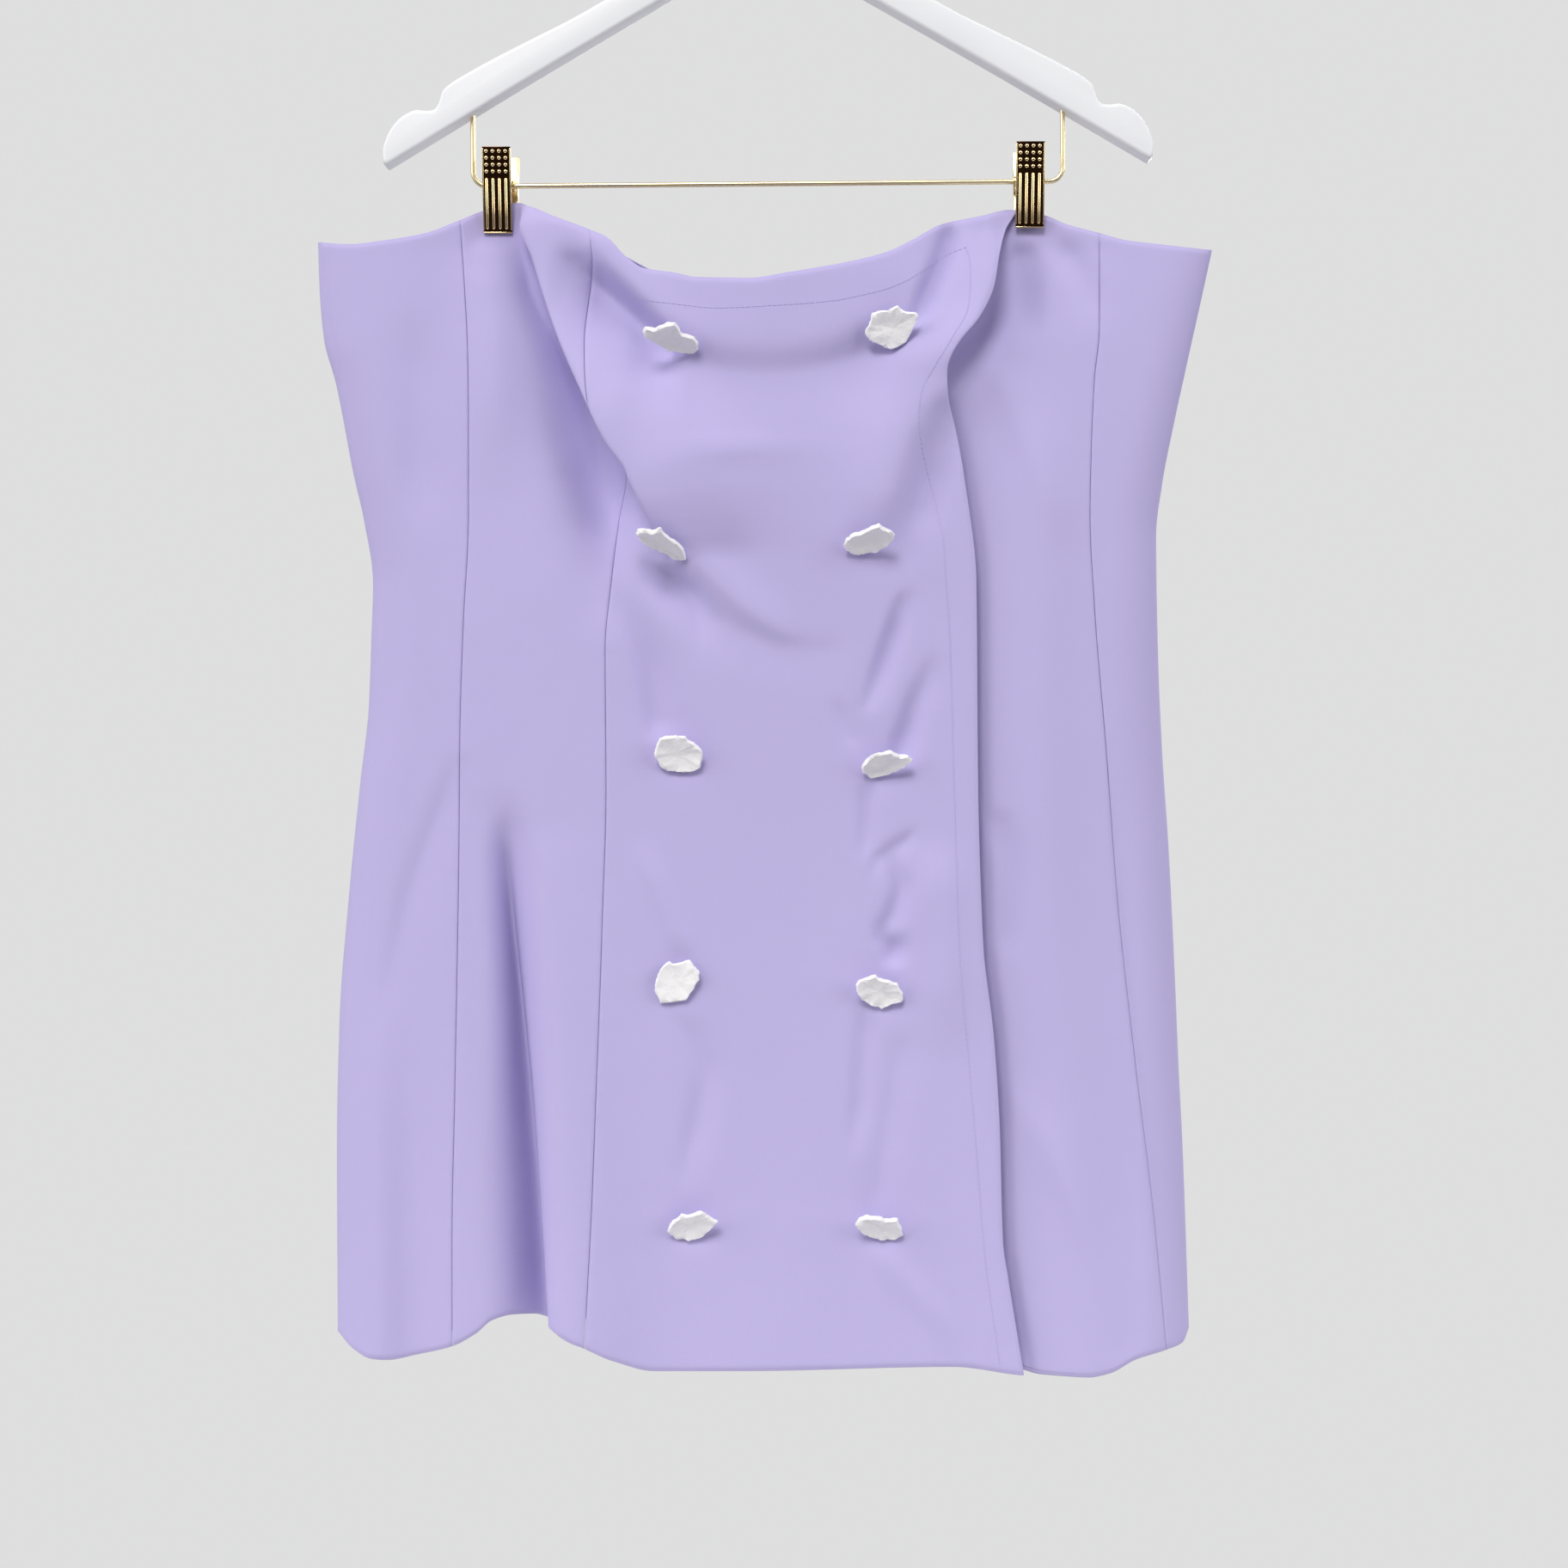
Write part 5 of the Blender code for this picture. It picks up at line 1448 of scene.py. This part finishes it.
def barrel(clip):
    shape = bmesh.new()
    half = BARREL_LENGTH / 2
    collar = half - COLLAR_WIDTH
    sleeve = collar - COLLAR_SLOPE
    profile = [
        (-half, BORE_RADIUS), (-half, BARREL_RADIUS), (-collar, BARREL_RADIUS), (-sleeve, SLEEVE_RADIUS),
        (sleeve, SLEEVE_RADIUS), (collar, BARREL_RADIUS), (half, BARREL_RADIUS), (half, BORE_RADIUS)]
    count = BARREL_SIDES
    angles = [2 * math.pi * k / count for k in range(count)]
    rings = []
    for x, radius in profile:
        rings.append([shape.verts.new((x, radius * math.cos(t), radius * math.sin(t))) for t in angles])
    for one, other in zip(rings, rings[1:] + rings[:1]):
        for k in range(count):
            following = (k + 1) % count
            shape.faces.new([one[k], one[following], other[following], other[k]])
    bmesh.ops.recalc_face_normals(shape, faces=shape.faces)
    bmesh.ops.scale(shape, verts=shape.verts, vec=(MM, MM, MM))
    mesh = bpy.data.meshes.new(f"clip_{clip.name}_sleeve")
    shape.to_mesh(mesh)
    shape.free()
    mesh.shade_smooth()
    mesh.set_sharp_from_angle(angle=math.radians(40))
    mesh.transform(clip_axis(clip))
    made = link(mesh.name, mesh, PLAIN_GOLD)
    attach(made, "root")
    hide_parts(f"clip_{clip.name}_barrel")


def spring(clip):
    count = SPRING_TURNS * 16
    points = []
    for k in range(count + 1):
        t = 2 * math.pi * SPRING_TURNS * k / count
        along = -SPRING_HALF + 2 * SPRING_HALF * k / count
        points.append((along, SPRING_RADIUS * math.cos(t), SPRING_RADIUS * math.sin(t)))
    made = wire(f"clip_{clip.name}_spring", points, SPRING_WIRE, PLAIN_GOLD)
    made.data.transform(clip_axis(clip))
    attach(made, "root")


for clip in CLIPS:
    barrel(clip)
    spring(clip)

# %% [markdown]
# The bar and the hook are gold wire. The bar turns up at both ends into the underside of the hanger.
# The same wire tree makes both, so that their bends are round.

# %% Bar and hook
BAR_HALF = 171.5
BAR_BEND = 8.5
BAR_TOP = 186.5
HOOK_WIRE = 1.75
HOOK_INNER = 19.0
HOOK_START = 205.0
HOOK_END = -50.0
HOOK_STEM = [(8.5, 40.5), (5.4, 43.2), (3.2, 45.5), (1.6, 48), (0.6, 50.5), (0.1, 53), (0, 55.5), (0, 61.5)]


def bend(x, drop, radius, first, last, count):
    """Points of an arc about x and drop; angles in degrees turn up from the viewer's right."""
    angles = [math.radians(first + (last - first) * k / count) for k in range(count + 1)]
    return [(x + radius * math.cos(t), drop - radius * math.sin(t)) for t in angles]


def rolled():
    """Tips a piece about the middle of the hanger, as the photographed one hangs."""
    centre = Matrix.Translation(Vector((0, 0, -ROLL_DROP)) * MM)
    return centre @ Matrix.Rotation(-ROLL, 4, "Y") @ centre.inverted()


def add_bar():
    inner = BAR_HALF - BAR_BEND
    turn = BAR_DROP - BAR_BEND
    left = bend(-inner, turn, BAR_BEND, 180, 270, 12)
    right = bend(inner, turn, BAR_BEND, 270, 360, 12)
    path = [(-BAR_HALF, BAR_TOP), *left, *right, (BAR_HALF, BAR_TOP)]
    made = wire("clip_bar_wire", [(x, 0, -drop) for x, drop in path], BAR_RADIUS, WIRE_GOLD)
    made.data.transform(rolled())
    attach(made, "root")
    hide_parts("clip_bar")


def add_hook():
    arc = bend(0, HOOK_INNER, HOOK_INNER + HOOK_WIRE, HOOK_START, HOOK_END, 56)
    made = wire("hook_wire", [(x, 0, -drop) for x, drop in [*arc, *HOOK_STEM]], HOOK_WIRE, WIRE_GOLD)
    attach(made, "root")
    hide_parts("hook")


add_bar()
add_hook()

# %% [markdown]
# The hanger is flat wood with softened edges under satin white paint. One outline table is mirrored
# about the hook, run through by a smooth curve, thickened and bevelled.

# %% Wooden hanger
HANGER_THICKNESS = 13.0
HANGER_ROUNDING = 2.4
HANGER_UPPER = [
    (0, 60), (6, 60.4), (14, 66), (24, 79), (40, 92.2), (92.5, 122.5), (113.5, 134.2), (132, 143.4),
    (154.5, 154.6), (172.5, 164.2), (185, 171.8), (188.6, 175.5), (190.6, 182), (193.5, 186), (198, 186.6),
    (203, 186), (210, 188.5), (216, 193.5), (221, 201.5), (223.4, 210), (223.3, 216), (221, 218.5)]
HANGER_LOWER = [(171.5, 189), (126, 162), (58, 122.5), (30, 106), (14, 98.5), (0, 96)]


def satin_paint():
    made = Finish("satin white paint", {
        "Specular IOR Level": 0.5, "Coat Weight": 0.15, "Coat Roughness": 0.25})
    where = made.place()
    brushed = made.noise(made.scaled(where, (30, 400, 400)), 1.0, 3.0)
    cloud = made.noise(where, 18.0, 2.0)
    made.colour(made.between(cloud, (0.80, 0.81, 0.84, 1), (0.86, 0.87, 0.89, 1)))
    made.roughness(brushed * 0.12 + 0.34)
    made.raise_by(brushed, 0.00006, 0.5)
    return made.material


# %% Hanger's wood
def curve_through(points, pitch):
    """Points at an even pitch on a smooth curve through a table."""
    table = np.array(points, float)
    lengths = np.concatenate([[0], np.cumsum(np.linalg.norm(np.diff(table, axis=0), axis=1))])
    at = np.linspace(0, lengths[-1], round(lengths[-1] / pitch) + 1)
    return list(zip(smooth(lengths, table[:, 0], at), smooth(lengths, table[:, 1], at)))


def add_hanger():
    upper = curve_through(HANGER_UPPER, 2.5)
    lower = curve_through([HANGER_UPPER[-1], *HANGER_LOWER], 4.0)[1:-1]
    right = upper + lower
    outline = right + [(0, HANGER_LOWER[-1][1])] + [(-x, drop) for x, drop in reversed(right) if x > 0.01]
    shape = bmesh.new()
    half = HANGER_THICKNESS / 2
    ring = [shape.verts.new((x * MM, -half * MM, -drop * MM)) for x, drop in outline]
    flat = shape.faces.new(ring)
    made = bmesh.ops.extrude_face_region(shape, geom=[flat])
    moved = [item for item in made["geom"] if isinstance(item, bmesh.types.BMVert)]
    bmesh.ops.translate(shape, verts=moved, vec=(0, HANGER_THICKNESS * MM, 0))
    bmesh.ops.recalc_face_normals(shape, faces=shape.faces)
    caps = [face for face in shape.faces if len(face.verts) > 4]
    edges = list(dict.fromkeys(edge for face in caps for edge in face.edges))
    bmesh.ops.bevel(
        shape, geom=edges, offset=HANGER_ROUNDING * MM, segments=4, affect="EDGES", profile=0.55,
        clamp_overlap=True)
    mesh = bpy.data.meshes.new("hanger_wood")
    shape.to_mesh(mesh)
    shape.free()
    mesh.transform(rolled())
    mesh.shade_smooth()
    mesh.set_sharp_from_angle(angle=math.radians(45))
    piece = link("hanger_wood", mesh, satin_paint())
    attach(piece, "root")
    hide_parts("hanger_body")
    print("hanger faces", len(mesh.polygons), "volume", round(volume(mesh)))


add_hanger()

# %% [markdown]
# The floor is a pale disc well below the hem, seen only from above.

# %% Floor
def add_floor():
    shape = bmesh.new()
    bmesh.ops.create_cone(
        shape, cap_ends=True, segments=96, radius1=FLOOR_RADIUS * MM, radius2=FLOOR_RADIUS * MM, depth=0.02,
        matrix=Matrix.Translation(Vector((0, 0, -FLOOR_DROP * MM))))
    mesh = bpy.data.meshes.new("floor")
    shape.to_mesh(mesh)
    shape.free()
    plaster = Finish("pale floor", {"Roughness": 0.9})
    cloud = plaster.noise(plaster.place(), 3.0, 2.0)
    plaster.colour(plaster.between(cloud, (0.78, 0.78, 0.785, 1), (0.82, 0.82, 0.825, 1)))
    link("floor", mesh, plaster.material)


add_floor()
